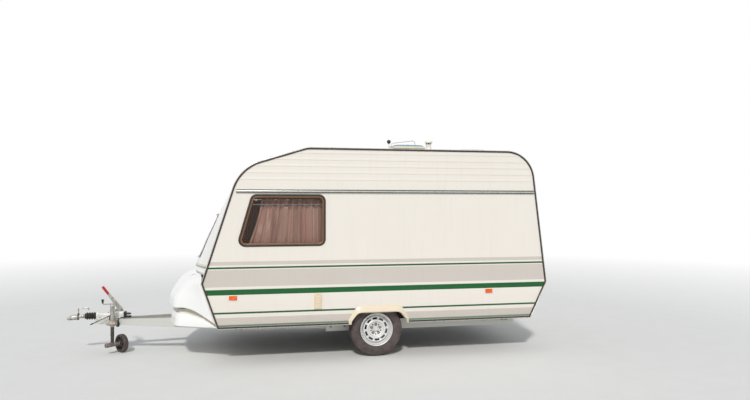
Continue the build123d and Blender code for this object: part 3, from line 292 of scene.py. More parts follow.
def bands(tree, table, colours, rise=0):
    """Bands of colour over the height, level or climbing by a share of the way out from the middle."""
    place = axes(tree)
    climb = times(tree, maths(tree, "ABSOLUTE", place[1]), rise)
    height = maths(tree, "SUBTRACT", place[2], climb)
    ramp = node(tree, "ShaderNodeValToRGB", {0: spread(tree, height, 0, BAND_TOP)})
    strip = ramp.color_ramp
    strip.interpolation = "CONSTANT"
    while len(strip.elements) < len(table):
        strip.elements.new(0.5)
    for stop, (low, name) in zip(strip.elements, table):
        stop.position = low / BAND_TOP
    for stop, (low, name) in zip(strip.elements, table):
        stop.color = (*colours[name], 1)
    return ramp.outputs[0]


def weathered(tree, shader, colour, rough, mottle=0.05, streak=0.04):
    """Paint or gel coat: faint mottling, rain streaks, road film low down, and fine orange peel."""
    film = times(tree, spread(tree, axes(tree)[2], 0.4, 0.75, 0.16, 0), noise(tree, 6, 5, (1, 1, 2.5)))
    patches = spread(tree, noise(tree, 1.7, 4), 0.35, 0.75, 0, mottle)
    toned = blend(tree, patches, colour, linear(214, 200, 176), "MULTIPLY")
    toned = patched(tree, (1, 4, (26, 26, 1.2)), 0.52, 0.78, streak, toned, linear(150, 140, 120))
    ripple = relief(tree, noise(tree, 2.4, 2), 0.004, 0.35)
    put_all(tree, shader, {
        "Base Color": blend(tree, film, toned, linear(128, 112, 90)),
        "Roughness": spread(tree, noise(tree, 9, 3), 0.3, 0.7, rough - 0.05, rough + 0.09),
        "Normal": relief(tree, noise(tree, 700, 2), 0.00008, 0.6, ripple),
    })


def moulded(name, colour, rough=0.42, mottle=0.12, grain=900, depth=0.00015, metal=0, tone=None, patch=22):
    """Plain moulded, cast or painted stuff: two close tones in patches, uneven gloss and a fine grain."""
    mat, tree, shader = new_material(name)
    second = linear(*tone) if tone else darker(colour, 1 - mottle)
    put_all(tree, shader, {
        "Base Color": patched(tree, (patch, 5), 0.35, 0.7, 1, colour, second),
        "Roughness": spread(tree, noise(tree, patch * 3, 4), 0.3, 0.7, rough - 0.07, rough + 0.09),
        "Metallic": metal,
        "Normal": relief(tree, noise(tree, grain, 3), depth, 0.8),
    })
    return mat


def clear_plastic(name, colour, alpha, rough=0.08, ribs=0):
    """Tinted clear plastic, with moulded ribs that many to the metre where it is a lens."""
    mat, tree, shader = new_material(name)
    smear = noise(tree, 7, 4, (1, 1, 3))
    normal = relief(tree, noise(tree, 3, 1), 0.002, 0.3)
    if ribs:
        normal = relief(tree, wave(tree, axes(tree)[2], ribs * 2 * pi), 0.0008, 0.9, normal)
    put_all(tree, shader, {
        "Base Color": blend(tree, spread(tree, smear, 0.4, 0.8, 0, 0.35), colour, darker(colour, 0.8)),
        "Roughness": spread(tree, smear, 0.3, 0.8, rough, rough + 0.07),
        "Alpha": alpha,
        "Normal": normal,
    })
    return mat


def make_wall_paint(name, colours):
    """Side colours in bands, which the rear wall carries too, and a wood-grained lining inside."""
    mat, tree, shader = new_material(name)
    paints = {
        "base": tuple(colours.side),
        "grey": tuple(colours.grey_band),
        "green": tuple(colours.green_band),
        "pale": linear(70, 160, 104),
        "thin": tuple(colours.thin_band),
        "dull": tuple(colours.dull_band),
    }
    if name == "side_paint":
        outside = spread(tree, maths(tree, "ABSOLUTE", axes(tree)[1]), HALF_W - 0.0045, HALF_W - 0.004)
    else:
        normal = node(tree, "ShaderNodeNewGeometry").outputs["True Normal"]
        outside = spread(tree, parts_of(tree, normal)[0], 0, 0.1)
    grain = spread(tree, noise(tree, 1, 6, (40, 40, 2)), 0.4, 0.6)
    lining = blend(tree, grain, linear(176, 132, 88), linear(150, 106, 66))
    weathered(tree, shader, blend(tree, outside, lining, bands(tree, SIDE_BANDS, paints)), 0.34)
    return mat


def make_gel(name, colours):
    """Glossy white gel coat; the bowed front panel has lines across its foot."""
    mat, tree, shader = new_material(name)
    paint = tuple(colours.gel)
    if name == "bow_gel":
        paints = {"base": paint, "thin": tuple(colours.thin_band), "beige": linear(214, 196, 160)}
        paint = bands(tree, BOW_BANDS, paints, BOW_RISE)
    weathered(tree, shader, paint, 0.22, 0.05, 0.03)
    put_all(tree, shader, {"Coat Weight": 0.3, "Coat Roughness": 0.08})
    return mat


def make_roof_paint(name, colours):
    mat, tree, shader = new_material(name)
    weathered(tree, shader, linear(243, 240, 233), 0.38, 0.1, 0.08)
    return mat


def make_galvanised(name, colours):
    """Hot-dip zinc: small spangles, dull patches and pale bloom."""
    mat, tree, shader = new_material(name)
    cells = {"Vector": object_coords(tree), "Scale": 95, "Randomness": 1}
    spangle = node(tree, "ShaderNodeTexVoronoi", cells).outputs["Color"]
    shade = node(tree, "ShaderNodeRGBToBW", {0: spangle}).outputs[0]
    zinc = tuple(colours.steel)
    tones = blend(tree, shade, darker(zinc, 0.78), darker(zinc, 1.08))
    tones = patched(tree, (14, 5), 0.45, 0.75, 0.55, tones, linear(216, 214, 206))
    put_all(tree, shader, {
        "Base Color": patched(tree, (5, 6), 0.6, 0.74, 0.4, tones, linear(128, 116, 96)),
        "Metallic": 0.55,
        "Roughness": spread(tree, shade, 0, 1, 0.38, 0.56),
        "Normal": relief(tree, noise(tree, 260, 3), 0.0003, 0.6),
    })
    return mat


def make_curtain_net(name, colours):
    """Fine dusty net: a small woven check, long folds in light and shade, and a soft sheen."""
    mat, tree, shader = new_material(name)
    x, y, z = axes(tree)
    run = maths(tree, "ADD", x, y)
    threads = 2 * pi / 0.0055
    weave = spread(tree, times(tree, wave(tree, run, threads), wave(tree, z, threads)), -1, 1)
    dust = tuple(colours.curtain)
    tones = blend(tree, weave, darker(dust, 0.8), darker(dust, 1.16))
    folds = maths(tree, "ADD", wave(tree, run, 61), wave(tree, run, 23))
    tones = blend(tree, spread(tree, folds, -1.2, -0.2, 0.55, 0), tones, darker(dust, 0.5))
    tones = blend(tree, spread(tree, folds, 1, 1.6, 0, 0.75), tones, linear(248, 214, 196))
    tones = patched(tree, (5, 4, (1, 1, 0.4)), 0.35, 0.7, 0.5, tones, linear(226, 196, 172))

    # Side curtains: a wavy pale seam, and the heading above it in the shade
    ripple = maths(tree, "ADD", wave(tree, x, 43), wave(tree, x, 97))
    edge = maths(tree, "SUBTRACT", z, maths(tree, "ADD", times(tree, ripple, 0.0095), SEAM_Z))
    sides = spread(tree, maths(tree, "ABSOLUTE", y), 0.8, 0.82)
    head = times(tree, spread(tree, edge, -0.001, 0.001), sides)
    seam = times(tree, spread(tree, maths(tree, "ABSOLUTE", edge), 0.003, 0.006, 1, 0), sides)
    tones = blend(tree, head, tones, darker(dust, 0.62))
    put_all(tree, shader, {
        "Base Color": blend(tree, seam, tones, linear(250, 226, 214)),
        "Roughness": 0.85,
        "Sheen Weight": 0.25,
        "Sheen Roughness": 0.5,
        "Normal": relief(tree, weave, 0.0006, 0.8),
    })
    return mat


def make_tyre_rubber(name, colours):
    """Weathered tyre: brown-grey bloom on the wall, dust, and fine texture."""
    mat, tree, shader = new_material(name)
    tones = patched(tree, (9, 6), 0.35, 0.7, 1, linear(70, 62, 62), linear(98, 86, 86))
    put_all(tree, shader, {
        "Base Color": patched(tree, (60, 4), 0.55, 0.8, 0.5, tones, linear(128, 114, 104)),
        "Roughness": spread(tree, noise(tree, 30, 3), 0.3, 0.7, 0.66, 0.86),
        "Normal": relief(tree, noise(tree, 420, 4), 0.0004, 0.8),
    })
    return mat


def make_wheel_silver(name, colours):
    """Silver wheel paint with brake dust and small rust freckles, and painted shade in the rings and the
    middle of the disc.
    """
    mat, tree, shader = new_material(name)
    silver = tuple(colours.wheel)
    off = vector(tree, "SUBTRACT", object_coords(tree), (AXLE_X, 0, HUB_Z)).outputs[0]
    flat = vector(tree, "MULTIPLY", off, (1, 0, 1)).outputs[0]
    out = vector(tree, "LENGTH", flat).outputs["Value"]
    tones = patched(tree, (18, 5), 0.35, 0.75, 1, silver, darker(silver, 0.74))
    tones = patched(tree, (90, 4), 0.66, 0.74, 0.6, tones, linear(120, 84, 56))
    # Dark rings in the disc's grooves and a darker middle: painted shade in its recesses
    for low, high, amount in ((0, 0.086, 0.45), (0.113, 0.139, 0.95), (0.1525, 0.169, 0.95)):
        inside = times(tree, spread(tree, out, low, low + 0.003), spread(tree, out, high, high + 0.003, 1, 0))
        tones = blend(tree, times(tree, inside, amount), tones, linear(46, 37, 32))
    put_all(tree, shader, {
        "Base Color": tones,
        "Metallic": 0.65,
        "Roughness": spread(tree, noise(tree, 40, 3), 0.3, 0.7, 0.24, 0.42),
        "Normal": relief(tree, noise(tree, 300, 3), 0.0002, 0.6),
    })
    return mat


# Finishes with a function of their own
MAKERS = {
    "side_paint": make_wall_paint,
    "end_paint": make_wall_paint,
    "bow_gel": make_gel,
    "gel_coat": make_gel,
    "roof_paint": make_roof_paint,
    "galvanised": make_galvanised,
    "curtain_net": make_curtain_net,
    "tyre_rubber": make_tyre_rubber,
    "wheel_silver": make_wheel_silver,
}

# What moulded() and clear_plastic() take. A colour is one of the panel's, or as a photograph shows it.
MOULDED = {
    "edge_brown": ("trim", 0.4, 0.2, 600),
    "bright_rail": ((206, 206, 200), 0.3, 0.12, 500, 0.0001, 0.7),
    # Dark strips in the drip rails' grooves: painted shade
    "rail_insert": ((48, 40, 32), 0.5, 0.2),
    "black_rubber": ((34, 31, 29), 0.55, 0.25, {"tone": (58, 54, 50)}),
    "frame_bronze": ((150, 108, 52), 0.32, 0.2, {"metal": 0.6}),
    "frame_grey": ((132, 98, 76), 0.35, 0.1, {"metal": 0.3}),
    "galley_wire": ((170, 160, 150), 0.35, 0.2, {"metal": 0.7}),
    # Darker gel for the locker's recessed band: painted shade
    "gel_shade": ((206, 200, 178), 0.4, 0.1, {"patch": 5}),
    "front_board": ("gel", 0.4, 0.06),
    "underfloor": ((62, 52, 42), 0.8, 0.3, 160, 0.0012, {"tone": (90, 78, 62)}),
    "wheel_box": ((44, 38, 35), 0.8, 0.3, 160, 0.0012, {"tone": (66, 56, 50)}),
    "spat_beige": ("spat", 0.38, 0.1, 800, 0.00012, {"patch": 9}),
    "lamp_housing": ((50, 46, 44), 0.45, 0.2),
    "plain_plate": ((234, 232, 222), 0.35, 0.06),
    "vent_beige": ((220, 190, 148), 0.45, 0.08, {"patch": 12}),
    "cream_plastic": ((236, 226, 204), 0.42, 0.1, {"patch": 12}),
    "flue_cream": ((226, 220, 204), 0.4, 0.16, {"patch": 30}),
    # Dark stand-in for the shade in holes and in the flue cap's openings, with soot in the flue: painted
    # shade
    "soot": ((44, 38, 32), 0.7, 0.3, {"patch": 40}),
    "black_plastic": ((30, 29, 28), 0.38, 0.2),
    "white_plastic": ((240, 238, 230), 0.35, 0.08),
    "cast_grey": ((168, 156, 146), 0.5, 0.2, 240, 0.0006, 0.1, (130, 120, 112), 30),
    "zinc_plate": ((206, 204, 198), 0.34, 0.2, 300, 0.0003, 0.6, (150, 146, 138), 34),
    "dark_steel": ((92, 86, 82), 0.45, 0.3, 260, 0.0004, 0.4, (60, 54, 50), 34),
    "worn_steel": ((168, 166, 160), 0.42, 0.2, 300, 0.0003, 0.5, (122, 116, 108), 40),
    "red_grip": ("grip", 0.36, 0.2, 500),
    "drum_iron": ((48, 40, 36), 0.7, 0.3, 200, 0.0006, 0.3, (92, 62, 44), 40),
    "hub_white": ((226, 226, 222), 0.35, 0.1, {"patch": 60}),
    "solid_tyre": ((62, 56, 54), 0.7, 0.3, 300, 0.0005, 0, (92, 82, 78), 40),
    "clamp_paint": ((196, 184, 172), 0.5, 0.2, 240, 0.0004, 0.1, (150, 138, 126), 40),
    "grimy_steel": ((150, 138, 134), 0.5, 0.3, 260, 0.0004, 0.3, (104, 94, 90), 40),
    "cable_black": ((30, 28, 27), 0.5, 0.3, 500, {"patch": 50}),
    "plug_orange": ((196, 104, 52), 0.45, 0.2, {"patch": 50}),
}
CLEAR = {
    "acrylic": ((92, 78, 70), 0.34, 0.04),
    "orange_lens": ("orange", 1, 0.14, 160),
    "red_lens": ("red", 1, 0.14, 160),
    "clear_lens": ((222, 222, 216), 1, 0.16, 160),
    # Tinted hatch dome, its blue partly a painted sky reflection
    "blue_dome": ((150, 182, 206), 0.72, 0.12),
    "white_dome": ((240, 240, 236), 0.94, 0.2),
}


def finish_of(name):
    """The material of that finish, made when first asked for."""
    if name in bpy.data.materials:
        return bpy.data.materials[name]
    colours = bpy.context.scene.caravan_colours
    if name in MAKERS:
        return MAKERS[name](name, colours)
    make, table = (moulded, MOULDED) if name in MOULDED else (clear_plastic, CLEAR)
    tint, *rest = table[name]
    colour = tuple(getattr(colours, tint)) if isinstance(tint, str) else linear(*tint)
    extra = rest.pop() if isinstance(rest[-1], dict) else {}
    return make(name, colour, *rest, **extra)


# Mesh building

def piece(name, verts, faces, finish, body=BODY, stands_for=(), crease=34, wall=0):
    """A mesh object in the row frame that rides on a body and may stand for CAD nodes.

    wall thickens an open skin inwards.
    """
    mesh = bpy.data.meshes.new(name)
    mesh.from_pydata([tuple(v) for v in verts], [], faces)
    mesh.validate()
    mesh.materials.append(finish_of(finish))
    build = bmesh.new()
    build.from_mesh(mesh)
    bmesh.ops.remove_doubles(build, verts=build.verts, dist=1e-6)
    bmesh.ops.recalc_face_normals(build, faces=build.faces)
    build.to_mesh(mesh)
    build.free()
    mesh.shade_smooth()
    mesh.set_sharp_from_angle(angle=radians(crease))
    obj = bpy.data.objects.new(name, mesh)
    bpy.context.scene.collection.objects.link(obj)
    if wall:
        thick = obj.modifiers.new("wall", "SOLIDIFY")
        thick.thickness = wall
        thick.offset = -1
    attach(obj, body)
    if stands_for:
        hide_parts(*stands_for)
    return obj


def dress(node_name, finish):
    """A CAD node that is shown as it is, with its finish."""
    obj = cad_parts[node_name]
    obj.data.materials.clear()
    obj.data.materials.append(finish_of(finish))
    obj.data.polygons.foreach_set("material_index", [0] * len(obj.data.polygons))
    return obj


def skin(rings, around=True, along=False, cap=True):
    """Quads between equal rings of points. around closes each ring, along closes the run of rings."""
    count = len(rings[0])
    verts = [point for ring in rings for point in ring]
    faces = []
    runs = len(rings) if along else len(rings) - 1
    steps = count if around else count - 1
    for i in range(runs):
        low, high = i * count, (i + 1) % len(rings) * count
        for j in range(steps):
            k = (j + 1) % count
            faces.append((low + j, low + k, high + k, high + j))
    if cap and around and not along:
        faces.append(tuple(range(count))[::-1])
        faces.append(tuple(range((len(rings) - 1) * count, len(rings) * count)))
    return verts, faces


def merged(*parts):
    """Several vertex and face lists as one."""
    verts, faces = [], []
    for more_verts, more_faces in parts:
        base = len(verts)
        verts += list(more_verts)
        faces += [tuple(base + i for i in face) for face in more_faces]
    return verts, faces


def rounded(corners, radii, steps=8):
    """A flat closed line through the corners, each turned into an arc."""
    line = []
    count = len(corners)
    for i in range(count):
        corner = Vector(corners[i])
        radius = radii[i] if hasattr(radii, "__len__") else radii
        if radius <= 0:
            line.append(corner)
            continue
        back = (Vector(corners[i - 1]) - corner).normalized()
        on = (Vector(corners[(i + 1) % count]) - corner).normalized()
        half = acos(max(-1, min(1, back.dot(on)))) / 2
        centre = corner + (back + on).normalized() * radius / sin(half)
        start = corner + back * radius / tan(half) - centre
        end = corner + on * radius / tan(half) - centre
        first = atan2(start.y, start.x)
        turn = (atan2(end.y, end.x) - first + pi) % (2 * pi) - pi
        for k in range(steps + 1):
            angle = first + turn * k / steps
            line.append(centre + radius * Vector((cos(angle), sin(angle))))
    return line


def rectangle(mid_u, mid_v, half_u, half_v, radius, steps=8):
    """A flat rounded rectangle."""
    corners = (
        (mid_u - half_u, mid_v - half_v),
        (mid_u + half_u, mid_v - half_v),
        (mid_u + half_u, mid_v + half_v),
        (mid_u - half_u, mid_v + half_v),
    )
    return rounded(corners, radius, steps)


def outwards(line):
    """The outward direction at each point of a flat closed line, longer at its corners."""
    count = len(line)
    area = sum(line[i - 1].x * line[i].y - line[i].x * line[i - 1].y for i in range(count))
    sign = 1 if area > 0 else -1
    dirs = []
    for i in range(count):
        before = (line[i] - line[i - 1]).normalized()
        after = (line[(i + 1) % count] - line[i]).normalized()
        side = Vector((before.y + after.y, -before.x - after.x)) * sign
        side.normalize()
        dirs.append(side / max(0.5, side.dot(Vector((before.y, -before.x)) * sign)))
    return dirs


def carried(line, section, place):
    """A section of (outwards, proud) pairs carried right round a flat closed line."""
    rings = []
    for point, out in zip(line, outwards(line)):
        rings.append([place(point.x + out.x * a, point.y + out.y * a, w) for a, w in section])
    return skin(rings, along=True)


def lid_over(line, place, proud):
    """A face filling a flat closed line, with a low crown given as (share of the outline, proud) steps."""
    mid = sum(line, Vector((0, 0))) / len(line)
    rings = [
        [place(mid.x + (p.x - mid.x) * share, mid.y + (p.y - mid.y) * share, w) for p in line]
        for share, w in proud
    ]
    verts, faces = skin(rings, cap=False)
    faces.append(tuple(range(len(verts) - len(line), len(verts))))
    return verts, faces


def on_side(hand):
    """Side wall places: u is X, v is Z, and w stands out of the wall."""
    return lambda u, v, w: Vector((u, hand * (HALF_W + w), v))


REAR_UP = (REAR_TOP - REAR_KINK).normalized()
REAR_OUT = Vector((REAR_UP.z, 0, -REAR_UP.x))


def on_rear(u, v, w):
    """Rear wall places: u is Y, v is height, and w stands out of the wall."""
    return REAR_KINK + REAR_UP * ((v - REAR_KINK.z) / REAR_UP.z) + Vector((0, u, 0)) + REAR_OUT * w


def bow_bulge(z):
    """How far the bowed panel stands out at its middle, at that height."""
    table = mm((1030, 153), (1360, 124), (1700, 75), (2020, 4))
    for (z0, b0), (z1, b1) in zip(table, table[1:]):
        if z <= z1:
            return b0 + (b1 - b0) * (z - z0) / (z1 - z0)
    return table[-1][1]


def front_edge_x(z):
    """X of the straight front edge of the side walls, above the kink."""
    return KINK[0] + (SHOULDER[0] - KINK[0]) * (z - KINK[1]) / (SHOULDER[1] - KINK[1])


def on_bow(u, v, w):
    """Front panel places: u is Y, v is Z, and w stands out of the bow."""
    def skin_x(y, z):
        bulge = bow_bulge(z)
        radius = (INNER_Y**2 + bulge**2) / (2 * bulge)
        return front_edge_x(z) - (sqrt(radius**2 - min(y * y, INNER_Y**2)) - (radius - bulge))

    step = 0.01
    slope_y = (skin_x(u + step, v) - skin_x(u - step, v)) / (2 * step)
    slope_z = (skin_x(u, v + step) - skin_x(u, v - step)) / (2 * step)
    out = Vector((-1, slope_y, slope_z)).normalized()
    return Vector((skin_x(u, v), u, v)) + out * w


def level(origin):
    """Places on a level plane: u is X, v is Y, w is up."""
    return lambda u, v, w: Vector(origin) + Vector((u, v, w))


def turned(section, origin, axis, steps=64, around=True):
    """A section of (radius, distance along the axis) turned about an axis.

    It runs from axis to axis or closes on itself, or is left open where around is False.
    """
    along = Vector(axis).normalized()
    side = Vector((1, 0, 0)) if abs(along.y) > 0.99 else along.orthogonal().normalized()
    other = along.cross(side)
    rings = []
    for k in range(steps):
        angle = 2 * pi * k / steps
        spoke = side * cos(angle) + other * sin(angle)
        rings.append([Vector(origin) + spoke * r + along * d for r, d in section])
    return skin(rings, around, along=True)


def bent_rod(corners, radius, bend, steps=8, sides=14, taper=None):
    """A round bar along straight runs joined by arcs, closed at both ends."""
    points = [Vector(corners[0])]
    for i in range(1, len(corners) - 1):
        corner = Vector(corners[i])
        back = (Vector(corners[i - 1]) - corner).normalized()
        on = (Vector(corners[i + 1]) - corner).normalized()
        half = acos(max(-1, min(1, back.dot(on)))) / 2
        if half > pi / 2 - 0.02:
            points.append(corner)
            continue
        reach = bend / tan(half)
        centre = corner + (back + on).normalized() * bend / sin(half)
        first, last = corner + back * reach - centre, corner + on * reach - centre
        turn = first.angle(last)
        for k in range(steps + 1):
            share = k / steps
            points.append(centre + (first * sin((1 - share) * turn) + last * sin(share * turn)) / sin(turn))
    points.append(Vector(corners[-1]))
    ring_side = (points[1] - points[0]).orthogonal().normalized()
    rings = []
    for i, point in enumerate(points):
        ahead = (points[min(i + 1, len(points) - 1)] - points[max(i - 1, 0)]).normalized()
        ring_side = (ring_side - ahead * ring_side.dot(ahead)).normalized()
        other = ahead.cross(ring_side)
        size = radius if taper is None else radius * (1 + (taper - 1) * i / (len(points) - 1))
        rings.append(
            [
                point + (ring_side * cos(2 * pi * k / sides) + other * sin(2 * pi * k / sides)) * size
                for k in range(sides)
            ]
        )
    return skin(rings)


def soft_block(size, at, edge=0.004, turn=None):
    """A box with rounded edges, by its size and middle; turn is a rotation matrix."""
    build = bmesh.new()
    bmesh.ops.create_cube(build, size=1)
    bmesh.ops.scale(build, vec=size, verts=build.verts)
    bmesh.ops.bevel(
        build,
        geom=build.edges[:],
        offset=min(edge, min(size) * 0.45),
        segments=3,
        profile=0.5,
        affect="EDGES",
    )
    if turn is not None:
        bmesh.ops.transform(build, matrix=turn.to_4x4(), verts=build.verts)
    bmesh.ops.translate(build, vec=Vector(at), verts=build.verts)
    build.verts.index_update()
    verts = [v.co.copy() for v in build.verts]
    faces = [tuple(v.index for v in face.verts) for face in build.faces]
    build.free()
    return verts, faces


def bolt_head(at, axis, radius=0.009, height=0.006, washer=1.5):
    """A hexagon head with a chamfer on a washer."""
    along = Vector(axis).normalized()
    plate = turned(
        (
            (0, 0), (radius * washer, 0), (radius * washer, height * 0.25), (radius * 0.5, height * 0.3),
            (0, height * 0.3),
        ),
        at,
        along,
        20,
    )
    rings = []
    side = along.orthogonal().normalized()
    other = along.cross(side)
    for share, lift in ((1, 0.25), (1, 1), (0.86, 1.25)):
        rings.append(
            [
                Vector(at) + (
                    side * cos(pi * k / 3) + other * sin(pi * k / 3)
                ) * radius * share + along * height * lift
                for k in range(6)
            ]
        )
    return merged(plate, skin(rings))


def body_line():
    """The body's side view with its rounded corners, as a closed line of X and Z."""
    return rounded([c[:2] for c in BODY_CORNERS], [c[2] for c in BODY_CORNERS], 24)


def body_span(z, inset):
    """Front and rear X of the body's side view at a height, with an inset."""
    line = body_line()
    crossings = []
    for i in range(len(line)):
        a, b = line[i - 1], line[i]
        if (a.y - z) * (b.y - z) < 0:
            crossings.append(a.x + (b.x - a.x) * (z - a.y) / (b.y - a.y))
    return min(crossings) + inset, max(crossings) - inset


def long_bead(x0, x1, z, section, hand, fade=0.012):
    """A bead along a side wall that fades away at both ends; its section is (height, proud) pairs."""
    place = on_side(hand)
    rings = []
    for x, share in ((x0, 0.02), (x0 + fade, 1), (x1 - fade, 1), (x1, 0.02)):
        rings.append([place(x, z + dz, w * share) for dz, w in section])
    return skin(rings, around=True)


# Stage

# The camera of the photograph, solved from its straight edges
CAMERA_AT = (-0.951, -8.65, 1.79)
CAMERA_TURN = 12.23         # degrees to the right of straight on to the side
CAMERA_LENS = 31.68         # for a 36 mm wide frame
CAMERA_SHIFT = 5.6 / 750    # the horizon lies this share of the width under the middle


def build_stage(sizes):
    """Camera, pale floor, white surroundings, a soft high sun and an even sky."""
    scene = bpy.context.scene
    scene.view_settings.view_transform = "Standard"
    lens = bpy.data.cameras.new("view")
    lens.lens = CAMERA_LENS
    lens.sensor_width = 36
    lens.shift_y = CAMERA_SHIFT
    lens.clip_end = 300
    camera = bpy.data.objects.new("view", lens)
    camera.location = CAMERA_AT
    camera.rotation_euler = (pi / 2, 0, -radians(CAMERA_TURN))
    scene.collection.objects.link(camera)
    scene.camera = camera

    world = bpy.data.worlds.new("sky")
    world.use_nodes = True
    tree = world.node_tree
    tree.nodes.clear()
    out = tree.nodes.new("ShaderNodeOutputWorld")
    rays = tree.nodes.new("ShaderNodeLightPath")
    seen = maths(
        tree,
        "MAXIMUM",
        rays.outputs["Is Camera Ray"],
        maths(tree, "MAXIMUM", rays.outputs["Is Glossy Ray"], rays.outputs["Is Transmission Ray"]),
    )
    light = node(tree, "ShaderNodeBackground", {"Color": linear(238, 243, 250), "Strength": 0.48})
    white = node(tree, "ShaderNodeBackground", {"Color": (1, 1, 1), "Strength": 1})
    both = node(tree, "ShaderNodeMixShader", {0: seen, 1: light.outputs[0], 2: white.outputs[0]})
    tree.links.new(both.outputs[0], out.inputs[0])
    scene.world = world

    sun = bpy.data.lights.new("sun", "SUN")
    sun.energy = 1.78
    sun.angle = radians(5)
    sun.color = (1, 0.975, 0.94)
    lamp = bpy.data.objects.new("sun", sun)
    lamp.rotation_euler = (Vector((0.24, 0.8, -0.72))).to_track_quat("-Z", "Y").to_euler()
    scene.collection.objects.link(lamp)

    mat, tree, shader = new_material("stage_floor")
    spot = node(tree, "ShaderNodeVectorMath", {0: object_coords(tree)}, operation="LENGTH").outputs["Value"]
    away = spread(tree, spot, 6, 17)
    tones = blend(tree, noise(tree, 3, 4), linear(238, 238, 235), linear(244, 244, 242))
    put(tree, shader.inputs["Base Color"], tones)
    shader.inputs["Roughness"].default_value = 0.85
    shader.inputs["Specular IOR Level"].default_value = 0.2
    glow = node(tree, "ShaderNodeEmission", {"Color": (1, 1, 1), "Strength": 1})
    rays = tree.nodes.new("ShaderNodeLightPath")
    amount = maths(tree, "MULTIPLY", away, rays.outputs["Is Camera Ray"])
    mix = node(tree, "ShaderNodeMixShader", {0: amount, 1: shader.outputs[0], 2: glow.outputs[0]})
    tree.links.new(mix.outputs[0], tree.nodes["Material Output"].inputs[0])
    ring = [Vector((cos(2 * pi * k / 96), sin(2 * pi * k / 96), 0)) * sizes.floor_radius for k in range(96)]
    mesh = bpy.data.meshes.new("stage_floor")
    mesh.from_pydata([tuple(v) for v in ring], [], [tuple(range(96))])
    mesh.materials.append(mat)
    floor = bpy.data.objects.new("stage_floor", mesh)
    scene.collection.objects.link(floor)


# Body shell

RIB_HEIGHTS = (2.087, 2.166, 2.243, 2.319, 2.396)
SKIRT_BEADS = (0.456, 0.47, 0.484, 0.498, 0.512)
DOOR_SPAN = (1.251, 1.841)
ARCH_SPAN = (0.396, 1.096)
SPAT_SPAN = (0.378, 1.114)


def off_arch(verts, faces):
    """A trim without the stretch of it that would cross the wheel arch."""
    kept = []
    for face in faces:
        mid = sum((verts[i] for i in face), Vector()) / len(face)
        if not (ARCH_SPAN[0] < mid.x < ARCH_SPAN[1] and mid.z < FOOT_Z + 0.1):
            kept.append(face)
    return verts, kept


def build_shell(sizes):
    """Paint on the CAD panels, the pressed ribs and beads of the side sheets, and the roof's seams."""
    for name in ("wall_left", "wall_right"):
        dress(name, "side_paint")
    dress("roof", "roof_paint")
    dress("rear_wall", "end_paint")
    dress("front_wall", "front_board")
    dress("front_panel", "bow_gel")
    dress("floor", "underfloor")
    dress("wheel_boxes", "wheel_box")
    dress("edge_trims", "edge_brown")

    high = sizes.rib_height
    rib = (
        (0.03, -0.001), (0.03, 0), (0.018, 0.35 * high), (0.007, 0.95 * high), (0.002, high),
        (-0.004, 0.4 * high), (-0.007, 0), (-0.007, -0.001),
    )
    low = sizes.bead_height
    bead = (
        (-0.0045, -0.001), (-0.0045, 0), (-0.0025, 0.8 * low), (0, low), (0.0025, 0.8 * low), (0.0045, 0),
        (0.0045, -0.001),
    )
    for side, hand in SIDES:
        parts = []
        for z in RIB_HEIGHTS:
            front, rear = body_span(z, TRIM_IN)
            parts.append(long_bead(front, rear, z, rib, hand))
        piece(f"side_ribs_{side}", *merged(*parts), "side_paint", crease=60)
        parts = []
        for z in SKIRT_BEADS:
            front, rear = body_span(z, TRIM_IN)
            stops = [(front, SPAT_SPAN[0] - 0.012), (SPAT_SPAN[1] + 0.012, rear)]
            if hand == RIGHT:
                stops = [stops[0], (SPAT_SPAN[1] + 0.012, DOOR_SPAN[0] - 0.02), (DOOR_SPAN[1] + 0.02, rear)]
            parts += [long_bead(x0, x1, z, bead, hand) for x0, x1 in stops]
        piece(f"skirt_beads_{side}", *merged(*parts), "side_paint", crease=60)

    # Bright bead outside the dark edge trim, and a soft rounded face on the trim itself
    line = body_line()
    line += [Vector((x, FOOT_Z)) for x in reversed(ARCH_SPAN)]
    r = sizes.edge_bead
    tube = [(0.001 + r * cos(a), 0.004 + r * sin(a)) for a in [2 * pi * k / 10 for k in range(10)]]
    face = mm((-19.5, 6.8), (-18, 9.2), (-10, 10.4), (-3.5, 9.4), (-2.2, 6.6))
    for side, hand in SIDES:
        piece(f"edge_bead_{side}", *off_arch(*carried(line, tube, on_side(hand))), "bright_rail", crease=60)
        piece(f"edge_face_{side}", *off_arch(*carried(line, face, on_side(hand))), "edge_brown", crease=60)

    # Roof: sheet seams across it and a sealing strip along each edge
    parts = []
    for x in (0.55, 1.95):
        rings = []
        for y in (-INNER_Y, INNER_Y):
            rings.append(
                [Vector((x + dx, y, ROOF_Z + dz)) for dx, dz in mm((-18, -1), (-14, 3), (14, 3), (18, -1))]
            )
        parts.append(skin(rings))
    piece("roof_seams", *merged(*parts), "roof_paint")
    parts = []
    run = [p for p in body_line() if p.y > 2.05]
    for hand in (LEFT, RIGHT):
        rings = []
        for a, p in enumerate(run):
            ahead = run[min(a + 1, len(run) - 1)] - run[max(a - 1, 0)]
            up = Vector((-ahead.y, ahead.x)).normalized()
            if up.y < 0:
                up = -up
            rings.append(
                [
                    Vector((p.x + up.x * w, hand * (INNER_Y + dy), p.y + up.y * w))
                    for dy, w in mm((-12, -1), (-8, 3), (4, 5), (10, 4), (12, -1))
                ]
            )
        parts.append(skin(rings))
    piece("roof_edge_strips", *merged(*parts), "white_plastic")


def build_bow():
    """Moulding along the foot of the bowed front panel."""
    rings = []
    count = 48
    for k in range(count + 1):
        y = INNER_Y * 0.998 * (2 * k / count - 1)
        rings.append([on_bow(y, 1.036 + dz, w) for dz, w in mm((-8, -2), (-7, 7), (0, 10), (7, 7), (9, -2))])
    piece("bow_foot_moulding", *skin(rings), "gel_coat", crease=60)


